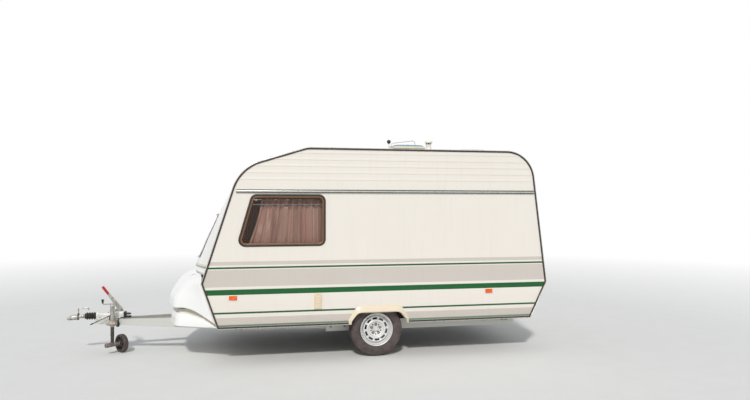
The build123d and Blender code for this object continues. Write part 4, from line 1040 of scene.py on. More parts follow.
def build_rails():
    """Drip rails, rounded off at the front: a bright middle strip between two dark strips that fill the
    grooves as painted shade.
    """
    box_low, box_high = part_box("drip_rails")
    x0, x1 = box_low.x, box_high.x
    z0, z1 = box_low.z, box_high.z
    mid = (z0 + z1) / 2
    body = (
        (z0, -0.001), (z0, 0.0085), (z0 + 0.0025, 0.0115), (z0 + 0.005, 0.0118), (z0 + 0.0055, 0.0085),
        (mid - 0.0085, 0.0085), (mid - 0.008, 0.0125), (mid - 0.005, 0.014), (mid + 0.005, 0.014),
        (mid + 0.008, 0.0125), (mid + 0.0085, 0.0085), (z1 - 0.0055, 0.0085), (z1 - 0.005, 0.0118),
        (z1 - 0.0025, 0.0115), (z1, 0.0085), (z1, -0.001),
    )
    for side, hand in SIDES:
        place = on_side(hand)
        rings = []
        for x, share in ((x0, 0.7), (x0 + 0.004, 0.88), (x0 + 0.012, 1), (x1 - 0.004, 1), (x1, 0.9)):
            rings.append([place(x, mid + (z - mid) * share, w * share) for z, w in body])
        piece(f"drip_rail_{side}", *skin(rings), "bright_rail", stands_for=("drip_rails",), crease=40)
        # Dark strips filling the two grooves: painted shade of the grooves
        parts = []
        for low, high in ((z0 + 0.0058, mid - 0.0088), (mid + 0.0088, z1 - 0.0058)):
            section = (
                (low, 0.008), (low + 0.002, 0.0112), ((low + high) / 2, 0.0122), (high - 0.002, 0.0112),
                (high, 0.008),
            )
            rings = [[place(x, z, w) for z, w in section] for x in (x0 + 0.006, x1 - 0.004)]
            parts.append(skin(rings))
        piece(f"rail_inserts_{side}", *merged(*parts), "rail_insert", crease=40)


# Windows

def window_set(name, line, place, proud=1):
    """Rubber, bronze line and inner frame round one window, standing out by a share of the usual."""
    stands = ("window_seals",)
    rubber = mm(
        (8, -1), (9, 4), (6, 9.5), (0, 12), (-8, 12), (-12.5, 9.5), (-13.5, 6), (-13.5, -24), (0, -26)
    )
    bronze = mm((-12.8, 0), (-12.8, 10), (-14.5, 11.2), (-16.8, 10.4), (-17.2, 0))
    grey = mm((-16.8, -20), (-16.8, 8), (-19, 9.6), (-25, 9), (-30, 6.2), (-32, 3.5), (-32, -20))
    rubber, bronze, grey = (
        [(a, w * proud if w > 0 else w) for a, w in part] for part in (rubber, bronze, grey)
    )
    piece(f"{name}_rubber", *carried(line, rubber, place), "black_rubber", stands_for=stands, crease=50)
    piece(f"{name}_bronze_line", *carried(line, bronze, place), "frame_bronze", crease=50)
    piece(f"{name}_inner_frame", *carried(line, grey, place), "frame_grey", crease=50)


def shrunk(line, inset):
    """A flat closed line moved inwards."""
    return [p - out * inset for p, out in zip(line, outwards(line))]


def pane_over(name, line, place, stands_for=(), body=BODY, low=0.0005, crown=0.004):
    """A thin acrylic pane with a slight outward dome."""
    shares = [(1, low), (0.97, low + 0.5 * crown), (0.85, low + 0.85 * crown), (0.5, low + crown)]
    piece(name, *lid_over(line, place, shares), "acrylic", body=body, stands_for=stands_for, crease=60)


def build_windows():
    """Rubbers, frames and panes of the side, front and rear windows."""
    side_line = rounded(SIDE_WINDOW, SIDE_WINDOW_R, 12)
    front_line = rectangle(0, FRONT_WINDOW[0], FRONT_WINDOW[1], FRONT_WINDOW[2], FRONT_WINDOW[3], 10)
    rear_line = rectangle(0, REAR_WINDOW[0], REAR_WINDOW[1], REAR_WINDOW[2], REAR_WINDOW[3], 10)
    dense = []
    for i, point in enumerate(front_line):
        step = (point - front_line[i - 1]).length
        cuts = max(1, ceil(step / 0.06))
        dense += [front_line[i - 1].lerp(point, (k + 1) / cuts) for k in range(cuts)]
    for side, hand in SIDES:
        window_set(f"window_{side}", side_line, on_side(hand))
        pane_over(f"pane_{side}", shrunk(side_line, PANE_IN), on_side(hand), ("window_panes",))
    window_set("window_front", dense, on_bow, 0.35)
    window_set("window_rear", rear_line, on_rear)
    knobs = []
    for z in (1.139, 1.668):
        for w, size in ((0.006, (0.012, 0.06, 0.034)), (0.018, (0.018, 0.034, 0.022))):
            knobs.append(soft_block(size, on_bow(0, z, w), 0.004, Matrix.Rotation(-0.3, 3, "Y")))
    piece("front_window_knobs", *merged(*knobs), "white_plastic", crease=60)
    pane_over("pane_rear", shrunk(rear_line, PANE_IN), on_rear, ("window_panes",))

    # The front pane follows the bow: a grid inside its rounded outline
    rows, cols = 14, 22
    mid = FRONT_WINDOW[0]
    half_u, half_v = FRONT_WINDOW[1] - PANE_IN, FRONT_WINDOW[2] - PANE_IN
    corner = FRONT_WINDOW[3] - PANE_IN
    rings = []
    for i in range(rows + 1):
        v = half_v * (2 * i / rows - 1)
        over = max(0, abs(v) - (half_v - corner))
        reach = half_u - corner + sqrt(max(0, corner**2 - over**2))
        rings.append([on_bow(reach * (2 * j / cols - 1), mid + v, 0.003) for j in range(cols + 1)])
    piece(
        "pane_front", *skin(rings, around=False, cap=False), "acrylic", stands_for=("window_panes",),
        wall=0.003,
    )


# Curtains: near and far side, front and rear. Each is cut wide and gathered along its rod.

def gathers(share, folds, seed):
    """Uneven soft folds along a curtain, from -1 to 1."""
    turn = 2 * pi * share
    shift = 0.018 * sin(2.3 * turn + seed) + 0.011 * sin(5.1 * turn + 2 * seed)
    phase = 2 * pi * folds * (share + shift)
    return sin(phase) * (0.72 + 0.28 * sin(1.7 * turn + 3 * seed)) + 0.22 * sin(2.3 * phase + seed)


def curtain(name, across, drop, place, folds, depth, seed, ruffle, lean=None):
    """A hung net: across and drop are its gathered width and its length, place sets a point from them."""
    cols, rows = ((14 * folds, 34))
    rings = []
    for i in range(rows + 1):
        down = i / rows
        line = []
        for j in range(cols + 1):
            share = j / cols
            fold = gathers(share, folds, seed)
            wide = depth * (0.7 + 0.45 * down) * fold
            turns = 2 * pi * folds * share
            rise = ruffle * (0.55 * sin(turns * 0.45 + seed) + 0.45 * sin(turns * 1.1 + 2 * seed))
            top = rise * (1 - down) ** 2
            u = across * share
            if lean is not None:
                u = lean(share, down) * across
            line.append(place(u, drop * down - top, wide))
        rings.append(line)
    verts, faces = skin(rings, around=False, cap=False)
    return piece(name, verts, faces, "curtain_net", stands_for=("curtains",), crease=180)


def build_curtains(sizes):
    """Four gathered nets behind the windows."""
    dress("curtain_rods", "galley_wire")
    rear_x, foot_z = 0.125, 1.318
    # side, hand, seed, gathered width, height and waviness of the heading, folds
    for side, hand, seed, across, top, ruffle, folds in (
        ("left", LEFT, 0.7, 0.745, 1.862, 0.008, 10), ("right", RIGHT, 2.1, 0.925, 1.872, 0.008, 15)
    ):
        def place(u, down, wide, hand=hand, top=top):
            return Vector((rear_x - u, hand * (0.981 + wide * 0.9), top - down))

        def lean(share, down):
            return share * (1 + 0.21 * down ** 1.4 * share ** 2.2)

        obj = curtain(
            f"curtain_{side}", across, top - foot_z, place, folds, sizes.curtain_fold, seed, ruffle, lean
        )
    for name, half, low_z, high_z, x_at, seed in (
        ("curtain_front", 0.442, 1.151, 1.746, lambda z: front_edge_x(z) + 0.069, 1.3),
        ("curtain_rear", 0.622, 1.286, 1.872, lambda z: 2.88 - 0.202 * (z - 0.844) / 1.616 - 0.069, 0.4),
    ):
        def place(u, down, wide, half=half, high_z=high_z, x_at=x_at):
            return Vector((x_at(high_z - down) + wide, u - half, high_z - down))

        folds = round(half * 2 / 0.062)
        obj = curtain(name, 2 * half, high_z - low_z, place, folds, sizes.curtain_fold, seed, 0)


# Door

DOOR_LOW, DOOR_HIGH = 0.452, 1.9


def build_door(sizes):
    """Bright edge band, window frame, handle and skirt beads of the door."""
    dress("door", "side_paint")
    mid_x = (DOOR_SPAN[0] + DOOR_SPAN[1]) / 2
    mid_z, half_z = (DOOR_LOW + DOOR_HIGH) / 2, (DOOR_HIGH - DOOR_LOW) / 2
    place = on_side(RIGHT)
    opening = rectangle(mid_x, mid_z, (DOOR_SPAN[1] - DOOR_SPAN[0]) / 2, half_z, 0.045)
    surround = mm((16, -1), (15, 3.5), (4, 4.5), (1.5, 3), (1.5, -1))
    piece("door_surround", *carried(opening, surround, place), "bright_rail", crease=50)
    edge = rectangle(mid_x, mid_z, (DOOR_SPAN[1] - DOOR_SPAN[0]) / 2 - 0.006, half_z - 0.006, 0.039)
    band = mm((-0.5, -22), (-0.5, 3), (-3, 4.5), (-16, 4), (-18, -1))
    piece("door_edge_band", *carried(edge, band, place), "bright_rail", body="door", crease=50)
    parts = []
    for z in SKIRT_BEADS[1:]:
        low = sizes.bead_height
        bead = ((-0.0045, -0.001), (-0.0045, 0), (-0.002, low), (0.002, low), (0.0045, 0), (0.0045, -0.001))
        parts.append(long_bead(DOOR_SPAN[0] + 0.03, DOOR_SPAN[1] - 0.03, z + 0.01, bead, RIGHT))
    piece("door_beads", *merged(*parts), "side_paint", body="door", crease=60)

    window = rectangle(*DOOR_WINDOW, 10)
    rubber = mm((12, -1), (11, 6), (4, 10), (-8, 9), (-12, 4), (-12, -20), (0, -22))
    inner = mm((-11, 0), (-11.5, 6.5), (-16, 7.5), (-22, 4), (-22, -18))
    piece("door_window_rubber", *carried(window, rubber, place), "black_rubber", body="door", crease=50)
    piece("door_window_frame", *carried(window, inner, place), "frame_grey", body="door", crease=50)
    pane_over("door_pane", shrunk(window, 0.02), place, ("door_window",), "door", 0, 0.003)

    # Handle: a black escutcheon with a lever and a lock, over the CAD blocks
    at_x, at_z = DOOR_SPAN[1] - 0.07, 1.12
    plate = rectangle(at_x, at_z, 0.031, 0.072, 0.012, 6)
    shell = lid_over(plate, place, [(1, 0), (1, 0.016), (0.93, 0.0195), (0.6, 0.02)])
    lever = rectangle(at_x, at_z + 0.01, 0.016, 0.046, 0.01, 6)
    paddle = lid_over(lever, place, [(1, 0.018), (1, 0.028), (0.85, 0.0325), (0.4, 0.0335)])
    barrel = mm((0, 18), (10, 18), (10, 23.5), (8.5, 24.5), (0, 24.5))
    lock = turned(barrel, (at_x, HALF_W, at_z - 0.054), (0, 1, 0), 24)
    piece("door_handle_plate", *shell, "black_plastic", body="door")
    piece("door_handle_lever", *merged(paddle, lock), "bright_rail", body="door")

    # Hinge leaves on the wall side
    parts = []
    hinge_x = DOOR_SPAN[0] - 0.022
    for z in (0.56, 1.18, 1.79):
        parts.append(soft_block((0.03, 0.005, 0.078), (hinge_x, HALF_W + 0.0025, z), 0.002))
        for dz in (-0.026, 0.026):
            parts.append(bolt_head((hinge_x, HALF_W + 0.005, z + dz), (0, 1, 0), 0.004, 0.002, 1.2))
    piece("door_hinge_leaves", *merged(*parts), "white_plastic")


# Lamps, plate, vent and grab handles

def lens_box(line, place, proud):
    """A rounded lens or cover that rises from a flat outline."""
    return lid_over(
        line, place, [(1, 0), (1, proud * 0.72), (0.965, proud * 0.92), (0.9, proud), (0.4, proud)]
    )


def build_lamps():
    """Side markers, tail lamp clusters, blank plate and its lamp, rear reflectors."""
    for side, hand in SIDES:
        place = on_side(hand)
        bases, lenses = [], []
        for x in (-0.94, 2.12):
            bases.append(lens_box(rectangle(x, 0.748, 0.0485, 0.028, 0.007, 5), place, 0.005))
            lenses.append(lid_over(
                rectangle(x, 0.748, 0.0455, 0.025, 0.006, 5), place,
                [(1, 0.004), (1, 0.0095), (0.94, 0.0118), (0.75, 0.012), (0.72, 0.0112), (0.3, 0.0112)],
            ))
        piece(f"marker_bases_{side}", *merged(*bases), "white_plastic", stands_for=("marker_lamps",))
        piece(f"marker_lenses_{side}", *merged(*lenses), "orange_lens")
    housings, amber, red, clear = [], [], [], []
    for hand in (LEFT, RIGHT):
        y, z = hand * 0.948, 0.972
        housings.append(lens_box(rectangle(y, z, 0.046, 0.0775, 0.012, 5), on_rear, 0.022))
        for half_v, dz, group in ((0.0215, 0.0505, amber), (0.023, 0.004, red), (0.0195, -0.0505, clear)):
            group.append(lid_over(
                rectangle(y, z + dz, 0.0405, half_v, 0.006, 5), on_rear,
                [(1, 0.018), (1, 0.033), (0.93, 0.0385), (0.5, 0.0395)],
            ))
    piece("tail_lamp_housings", *merged(*housings), "lamp_housing", stands_for=("tail_lamps",))
    piece("tail_lens_amber", *merged(*amber), "orange_lens")
    piece("tail_lens_red", *merged(*red), "red_lens")
    piece("tail_lens_clear", *merged(*clear), "clear_lens")

    plate = lid_over(
        rectangle(0, 0.93, 0.26, 0.056, 0.01, 6), on_rear, [(1, 0), (1, 0.003), (0.99, 0.004), (0.5, 0.004)]
    )
    piece("blank_plate", *plate, "plain_plate", stands_for=("number_plate",))
    rim = mm((4, -1), (4, 6), (1, 7), (-4, 4.5), (-4, 1))
    piece("plate_surround", *carried(rectangle(0, 0.93, 0.26, 0.056, 0.01, 6), rim, on_rear), "black_plastic")
    lamp = lens_box(rectangle(0, 1.02, 0.05, 0.016, 0.006, 5), on_rear, 0.03)
    piece("plate_lamp", *lamp, "black_plastic")
    reflectors = [
        lens_box(rectangle(hand * 0.77, 0.905, 0.036, 0.012, 0.004, 5), on_rear, 0.008)
        for hand in (LEFT, RIGHT)
    ]
    piece("rear_reflectors", *merged(*reflectors), "red_lens")

    # Grab handles low on the rear corners
    parts, feet = [], []
    for hand in (LEFT, RIGHT):
        y = hand * 0.85
        corners = [
            on_rear(y, 1.12, 0.001), on_rear(y, 1.12, 0.026), on_rear(y, 1.262, 0.026),
            on_rear(y, 1.262, 0.001),
        ]
        parts.append(bent_rod(corners, 0.0085, 0.016))
        for z in (1.12, 1.262):
            foot = mm((0, 0), (21, 0), (21, 3), (13, 8), (0, 8))
            feet.append(turned(foot, on_rear(y, z, 0), REAR_OUT, 24))
    piece("grab_handles", *merged(*parts, *feet), "white_plastic")


def build_vent():
    """Beige vent cover with a raised border and sloping louvres."""
    place = on_side(LEFT)
    x, z = 0.018, 0.687
    shell = lid_over(
        rectangle(x, z, 0.0445, 0.087, 0.011, 6), place,
        [(1, 0), (1, 0.02), (0.965, 0.0275), (0.93, 0.029), (0.84, 0.029), (0.82, 0.0235), (0.4, 0.0235)],
    )
    parts = [shell]
    for k in range(7):
        low = z - 0.062 + k * 0.0185
        rings = [
            [
                place(x + side * 0.0335, low + dz, w)
                for dz, w in mm((0, 22.5), (1, 30), (3, 31), (13.5, 24.5), (13.5, 22.5))
            ]
            for side in (-1, 1)
        ]
        parts.append(skin(rings))
    piece("vent_louvres", *merged(*parts), "vent_beige", stands_for=("vent_cover",), crease=40)
    screws = [
        turned(mm((0, 28), (3.5, 28), (3, 30.5), (0, 31)), (x, -HALF_W, z + dz), (0, -1, 0), 14)
        for dz in (-0.0785, 0.0785)
    ]
    piece("vent_screws", *merged(*screws), "worn_steel")


# Gas locker

LOCKER_FRONT = -1.687

# Plan of the locker by height: height, foremost face ahead of the axle, corners behind that,
# half width at the corners and at the rear, and the gap to the body
LID_STATIONS = mm(
    (404, 2400, 90, 700, 1020, 8), (604, 2437, 95, 715, 1024, 8), (710, 2426, 95, 718, 1024, 8),
    (808, 2372, 92, 724, 1023, 8), (901, 2300, 86, 750, 1021, 8), (973, 2158, 72, 825, 1014, 17),
    (1000, 2092, 58, 860, 1010, 31),
)
TUB_STATIONS = mm((404, 2352, 90, 660, 978, 6), (604, 2402, 92, 675, 978, 6))
SKIRT_STATIONS = mm((404, 2418, 92, 728, 984, 6), (471, 2404, 90, 724, 984, 6), (560, 2380, 88, 718, 984, 6))
LID_EDGE = mm((0, 200), (120, 212), (222, 217), (338, 187), (395, 150), (452, 107), (498, 69), (560, 14))
BASE_EDGE = mm(
    (0, 132), (55, 137), (137, 150), (222, 145), (281, 133), (396, 102), (452, 80), (506, 34), (548, 2)
)
LID_MIDDLE = 0.36           # share of the front that is level across the middle
LID_BOW = 1.5               # radius where it starts to fall back
LID_TOP = 0.9985
LID_HINGE = (-1.4, 0.96)
PIN_Y = 0.56                # middle of a hinge pin, where the shell swells over it
PIN_SWELL = 0.006
SWELL_REACH = (0.05, 0.11)  # how far the swell runs out from the pin, and along it
SWELL_WAY = Vector((-0.455, 0, 0.89))
ARM_Y = 0.52                # middle of a hinge arm
ARM_HALF = 0.006
SLOT_HALF = 0.0115          # half the width of an arm's slot in the lid


def smooth_table(table, at, column=1):
    """A value read from a table by its first column, along a smooth curve through the rows."""
    if at <= table[0][0]:
        return table[0][column]
    if at >= table[-1][0]:
        return table[-1][column]
    for i in range(len(table) - 1):
        x0, x1 = table[i][0], table[i + 1][0]
        if at <= x1:
            y0, y1 = table[i][column], table[i + 1][column]
            step = (y1 - y0) / (x1 - x0)
            before = step if i == 0 else (y1 - table[i - 1][column]) / (x1 - table[i - 1][0])
            after = step if i + 2 == len(table) else (table[i + 2][column] - y0) / (table[i + 2][0] - x0)
            t = (at - x0) / (x1 - x0)
            run = x1 - x0
            return (
                (2 * t**3 - 3 * t**2 + 1) * y0
                + (t**3 - 2 * t**2 + t) * run * before
                + (3 * t**2 - 2 * t**3) * y1
                + (t**3 - t**2) * run * after
            )
    return table[-1][column]


def body_front_x(z):
    """X of the front edge of the side walls at a height, below or above the kink."""
    if z < KINK[1]:
        return FOOT_X + (KINK[0] - FOOT_X) * (z - FOOT_Z) / (KINK[1] - FOOT_Z)
    return front_edge_x(z)


def locker_plan(stations, z, inset, corner, half_steps=22, corner_steps=10):
    """The locker's plan at a height, as points from its left rear round the front to its right rear."""
    reach, bow, front_half, rear_half, gap = (smooth_table(stations, z, k) for k in (1, 2, 3, 4, 5))
    front = AXLE_X - reach + inset
    front_half -= inset
    middle = LID_MIDDLE * front_half
    slant = atan2(bow, front_half - middle)
    bend = LID_BOW * tan(slant / 2)

    def front_at(y):
        if y <= middle - bend:
            return front
        if y < middle + bend * cos(slant):
            return front + LID_BOW - sqrt(LID_BOW**2 - (y - middle + bend) ** 2)
        return front + (y - middle) * tan(slant)

    a = Vector((body_front_x(z) - gap, rear_half - inset))
    b = Vector((front + bow, front_half))
    c = Vector((front, 0))
    back, on = (a - b).normalized(), (Vector((front, middle)) - b).normalized()
    half = acos(back.dot(on)) / 2
    start, end = b + back * corner / tan(half), b + on * corner / tan(half)
    centre = b + (back + on).normalized() * corner / sin(half)
    quarter = [a.lerp(start, k / 6) for k in range(6)]
    first, last = start - centre, end - centre
    turn = first.angle(last)
    for k in range(corner_steps):
        share = k / corner_steps
        quarter.append(centre + (first * sin((1 - share) * turn) + last * sin(share * turn)) / sin(turn))
    stops = [ARM_Y - SLOT_HALF, ARM_Y + SLOT_HALF]
    level_run = [end.y + (0 - end.y) * k / half_steps for k in range(half_steps)]
    nearest = [min(range(len(level_run)), key=lambda i, s=s: abs(level_run[i] - s)) for s in stops]
    if nearest[0] == nearest[1]:
        nearest[0] += 1
    for index, stop in zip(nearest, stops):
        level_run[index] = stop
    quarter += [Vector((front_at(y), y)) for y in level_run]
    left = [Vector((p.x, -p.y)) for p in quarter]
    return left + [c] + quarter[::-1]


def build_locker(sizes):
    """Gas locker: its bulged lid with a rolled lip and hinge lugs, and its base with the recessed sweep."""
    corner = sizes.locker_corner
    lower = locker_plan(LID_STATIONS, 0.55, 0, corner)

    def lid_ring(heights, inset):
        ring = []
        for k, z in enumerate(heights):
            p = locker_plan(LID_STATIONS, z, inset, corner)[k]
            ring.append(Vector((p.x, p.y, z)))
        return ring

    lows = [FOOT_Z + smooth_table(LID_EDGE, p.x - LOCKER_FRONT) for p in lower]
    rings = []
    for inset, lift in mm((16, 10), (14, 1), (8, -3.5), (1, -2), (-3, 4), (-2, 14)):
        rings.append(lid_ring([low + lift for low in lows], inset))
    for share in (0.1, 0.2, 0.3, 0.4, 0.5, 0.58, 0.66, 0.74, 0.8, 0.86, 0.91, 0.95, 0.98, 1):
        rings.append(lid_ring([low + 0.014 + (LID_TOP - low - 0.014) * share for low in lows], 0))
    rim = rings[-1]
    rear = body_front_x(1) - 0.031
    for share in (0.1, 0.5, 1):
        rings.append([Vector((p.x + (rear - p.x) * share, p.y, 1)) for p in rim])
    verts, faces = skin(rings, around=False, cap=False)
    # The shell swells a little over the hinge pins, which turn inside it
    for vert in verts:
        reach = hypot(vert.x - LID_HINGE[0], vert.z - LID_HINGE[1])
        along = abs(abs(vert.y) - PIN_Y)
        swell = PIN_SWELL * max(0, 1 - reach / SWELL_REACH[0]) * max(0, 1 - along / SWELL_REACH[1])
        vert += SWELL_WAY * swell
    kept = []
    for face in faces:
        points = [verts[i] for i in face]
        mid = sum(points, Vector()) / len(points)
        reach = [abs(point.y) for point in points]
        over_arm = min(reach) < ARM_Y + ARM_HALF and max(reach) > ARM_Y - ARM_HALF
        if over_arm and mid.z > 0.945 and mid.x > LID_HINGE[0] - 0.014:
            continue
        kept.append(face)
    piece(
        "locker_lid_shell", verts, kept, "gel_coat", body="locker_lid", stands_for=("locker_lid",), crease=70,
        wall=0.0035,
    )
    parts = []
    for y in (-0.545, 0.545):
        ring = mm((6.4, -10), (12, -10), (12, 10), (6.4, 10))
        parts.append(turned(ring, (LID_HINGE[0], y, LID_HINGE[1]), (0, 1, 0), 28))
    piece("locker_lugs", *merged(*parts), "zinc_plate", body="locker_lid")

    # Base: hollow tub, recessed sweep, shoulder and skirt, as one closed skin
    def closed(stations, z, inset):
        points = locker_plan(stations, z, inset, corner)
        right, left = points[-1], points[0]
        back = [right.lerp(left, k / 12) for k in range(1, 12)]
        return points + back

    foremost = closed(SKIRT_STATIONS, 0.45, 0)
    tops = [FOOT_Z + max(0.003, smooth_table(BASE_EDGE, p.x - LOCKER_FRONT)) for p in foremost]
    rings = []

    def ring_at(stations, heights, inset):
        ring = []
        for k, z in enumerate(heights):
            p = closed(stations, z, inset)[k]
            ring.append(Vector((p.x, p.y, z)))
        return ring

    for z, inset in mm((417, 13), (596, 12), (600, 9), (600, 3), (595, 0)):
        rings.append([Vector((p.x, p.y, z)) for p in closed(TUB_STATIONS, z, inset)])
    rings.append(ring_at(TUB_STATIONS, [z + 0.03 for z in tops], 0))
    rings.append(ring_at(TUB_STATIONS, [z + 0.01 for z in tops], -0.004))
    blend_ring = ring_at(SKIRT_STATIONS, [z + 0.002 for z in tops], 0.018)
    rings.append([a.lerp(b, 0.45) for a, b in zip(rings[-1], blend_ring)])
    rings.append(blend_ring)
    rings.append(ring_at(SKIRT_STATIONS, tops, 0.006))
    rings.append(ring_at(SKIRT_STATIONS, [max(0.4055, z - 0.007) for z in tops], 0))
    rings.append(ring_at(SKIRT_STATIONS, [0.405 + (z - 0.405) * 0.4 for z in tops], -0.001))
    rings.append(ring_at(SKIRT_STATIONS, [0.4055] * len(tops), 0.001))
    rings.append(ring_at(SKIRT_STATIONS, [FOOT_Z] * len(tops), 0.008))
    verts, faces = skin(rings)
    # The recessed band takes a darker gel: painted shade under the lid's lip
    recess = range(4 * len(rings[0]), 7 * len(rings[0]))
    outer = [face for i, face in enumerate(faces) if i not in recess]
    piece("locker_base_shell", verts, outer, "gel_coat", stands_for=("locker_base",), crease=60)
    piece("locker_recess", verts, [faces[i] for i in recess], "gel_shade", crease=60)
    seal = closed(TUB_STATIONS, 0.6, 0.006)
    tube = [(0.004 * cos(2 * pi * k / 8), 0.003 + 0.0035 * sin(2 * pi * k / 8)) for k in range(8)]
    piece("locker_seal", *carried(seal, tube, level((0, 0, 0.6))), "black_rubber", crease=60)


# Running gear

WHEEL_Y = 0.911
TYRE_WALL = mm(
    (181.5, 68), (199, 69), (203.5, 72.5), (206.5, 77.5), (210, 80), (212.5, 81.2), (214, 79), (220, 82.5),
    (228, 84.8), (230, 86.2), (231.8, 85.2), (240, 87.2), (250, 88.4), (251.5, 89.6), (253, 88.6),
    (261, 88.4), (262.5, 89.6), (264, 88.2), (272, 87.2), (273.5, 88.6), (275, 86.6), (285, 84.2),
    (293, 82.2), (294.5, 83), (299, 79),
)
TYRE_TREAD = (
    (0, 0.074, 1), (0, 0.068, 1), (0, 0.06, 1), (0, 0.053, 1), (1, 0.0515, 0), (1, 0.0445, 0),
    (0, 0.043, 2), (0, 0.034, 2), (0, 0.025, 2), (1, 0.0235, 0), (1, 0.0165, 0), (0, 0.015, 2),
    (0, 0.006, 2),
)


def tyre_skin(centre, hand, sizes):
    """The tyre as a ring: side walls with moulded lines, grooved tread with blocks."""
    steps = sizes.tread_blocks * 4
    each = steps // sizes.tread_blocks

    def tread_radius(across):
        return sizes.tyre_radius - 0.011 * (abs(across) / 0.074) ** 3.2

    section = [(r, d, 0, 0) for r, d in TYRE_WALL]
    section += [(tread_radius(d), d, groove, kind) for groove, d, kind in TYRE_TREAD]
    section += [(r, -d, g, kind) for r, d, g, kind in section[::-1]]
    rings = []
    for k in range(steps):
        angle = 2 * pi * k / steps
        spoke = Vector((cos(angle), 0, sin(angle)))
        ring = []
        for r, d, groove, kind in section:
            cut = sizes.tread_depth * groove
            if kind == 1 and k % each == 0:
                cut = sizes.tread_depth * 0.85
            if kind == 2 and k % (2 * each) == (each if d > 0 else 0):
                cut = sizes.tread_depth * 0.5
            ring.append(centre + spoke * (r - cut) + Vector((0, hand * d, 0)))
        rings.append(ring)
    return skin(rings, around=True, along=True)


def build_wheels(sizes):
    """Road wheels: grooved tyre, rim with its slotted disc, drum, bolts, centre cap and valve."""
    flange = mm(
        (181, 67), (190, 68.5), (195, 70), (196.5, 73.5), (195, 76.5), (191, 77.5), (187, 75.5), (185, 70),
        (179, 64), (175, 56), (173.5, 30), (170, 26),
    )
    inner = mm(
        (170, -30), (173.5, -34), (174, -64), (188, -69), (191, -77), (195.5, -76.5), (196, -69), (181, -67)
    )
    seat = ((0.178, -0.04), (0.1775, 0), (0.178, 0.04))
    disc = mm(
        (172.5, 4), (169, 6.5), (160, 8), (155.5, 12), (153.5, 24), (152, 34), (149.5, 38.5), (145, 40),
        (141, 39), (138.5, 36), (118, 36), (115, 39.5), (110, 43.2), (102, 44.4), (95, 43.6), (90.5, 40),
        (88.5, 31), (86.5, 25), (82, 22.6), (74, 22), (34, 22),
    )
    slot_row = 9
    drum = mm(
        (20.6, -50), (108, -50), (112, -47), (112, -10), (106, 2), (90, 10), (64, 15), (0, 15.5), (0, -7.5),
        (20.6, -7.5),
    )
    cap = mm(
        (34.5, 21.5), (34.5, 27), (32.5, 29.5), (29, 30), (27, 33), (26.5, 40), (23.5, 44), (15, 45.8),
        (0, 46.3),
    )
    for side, hand in SIDES:
        body = f"wheel_{side}"
        centre = Vector((AXLE_X, hand * WHEEL_Y, HUB_Z))
        axis = (0, hand, 0)
        piece(
            f"tyre_skin_{side}", *tyre_skin(centre, hand, sizes), "tyre_rubber", body=body,
            stands_for=(f"tyre_{side}",), crease=24,
        )
        barrel = turned((*flange, *inner, *seat), centre, axis, 96)
        piece(
            f"rim_barrel_{side}", *barrel, "wheel_silver", body=body, stands_for=(f"rim_{side}",), crease=30
        )
        steps = 120
        verts, faces = turned(disc, centre, axis, steps, around=False)
        rows = len(disc) - 1
        kept = [f for i, f in enumerate(faces) if not (i % rows == slot_row and (i // rows) % 12 >= 4)]
        piece(f"rim_disc_{side}", verts, kept, "wheel_silver", body=body, crease=50, wall=0.0035)
        piece(f"brake_drum_{side}", *turned(drum, centre, axis, 72), "drum_iron", body=body, crease=30)
        bolts, holes = [], []
        for k in range(5):
            for place, group in ((0, bolts), (0.5, holes)):
                angle = 2 * pi * (k + place) / 5 + pi / 2
                reach = 0.056 if group is bolts else 0.062
                at = centre + Vector((cos(angle) * reach, hand * 0.0218, sin(angle) * reach))
                if group is bolts:
                    bolts.append(bolt_head(at, axis, 0.0095, 0.01, 1.35))
                    holes.append(turned(mm((0, 0), (17.5, 0), (16.5, 1.2), (0, 1.2)), at, axis, 28))
                else:
                    holes.append(turned(mm((0, 0), (8.5, 0), (8, 1.2), (0, 1.2)), at, axis, 24))
        piece(f"wheel_bolts_{side}", *merged(*bolts), "worn_steel", body=body, crease=30)
        # Dark discs at and between the bolts stand in for the holes' shade: painted shade
        piece(f"wheel_holes_{side}", *merged(*holes), "soot", body=body, crease=30)
        shell = turned(((0, 0.0215), *cap), centre, axis, 48)
        piece(f"centre_cap_{side}", *shell, "hub_white", body=body, crease=40)
        root = centre + Vector((cos(2.2) * 0.163, hand * 0.008, sin(2.2) * 0.163))
        tip = root + Vector((cos(2.2) * -0.004, hand * 0.034, sin(2.2) * -0.004))
        stem = bent_rod([root, tip], 0.0042, 0.01, sides=12)
        piece(f"valve_stem_{side}", *stem, "black_rubber", body=body)


def resampled(line, count):
    """An open flat line as evenly spaced points."""
    lengths = [0]
    for a, b in zip(line, line[1:]):
        lengths.append(lengths[-1] + (b - a).length)
    points, at = [], 0
    for k in range(count):
        goal = lengths[-1] * k / (count - 1)
        while at < len(line) - 2 and lengths[at + 1] < goal:
            at += 1
        run = lengths[at + 1] - lengths[at]
        points.append(line[at].lerp(line[at + 1], (goal - lengths[at]) / run if run else 0))
    return points


ARCH_X = 0.746
SPAT_EDGE = mm((-368, 0), (-362, 55), (-266, 213), (266, 213), (362, 55), (368, 0))
SPAT_ROUNDS = (0, 0.05, 0.115, 0.115, 0.05, 0)
ARCH_LIP = mm((-334, -10), (-328, 34), (-252, 126), (252, 126), (328, 34), (334, -10))
LIP_ROUNDS = (0, 0.04, 0.08, 0.08, 0.04, 0)


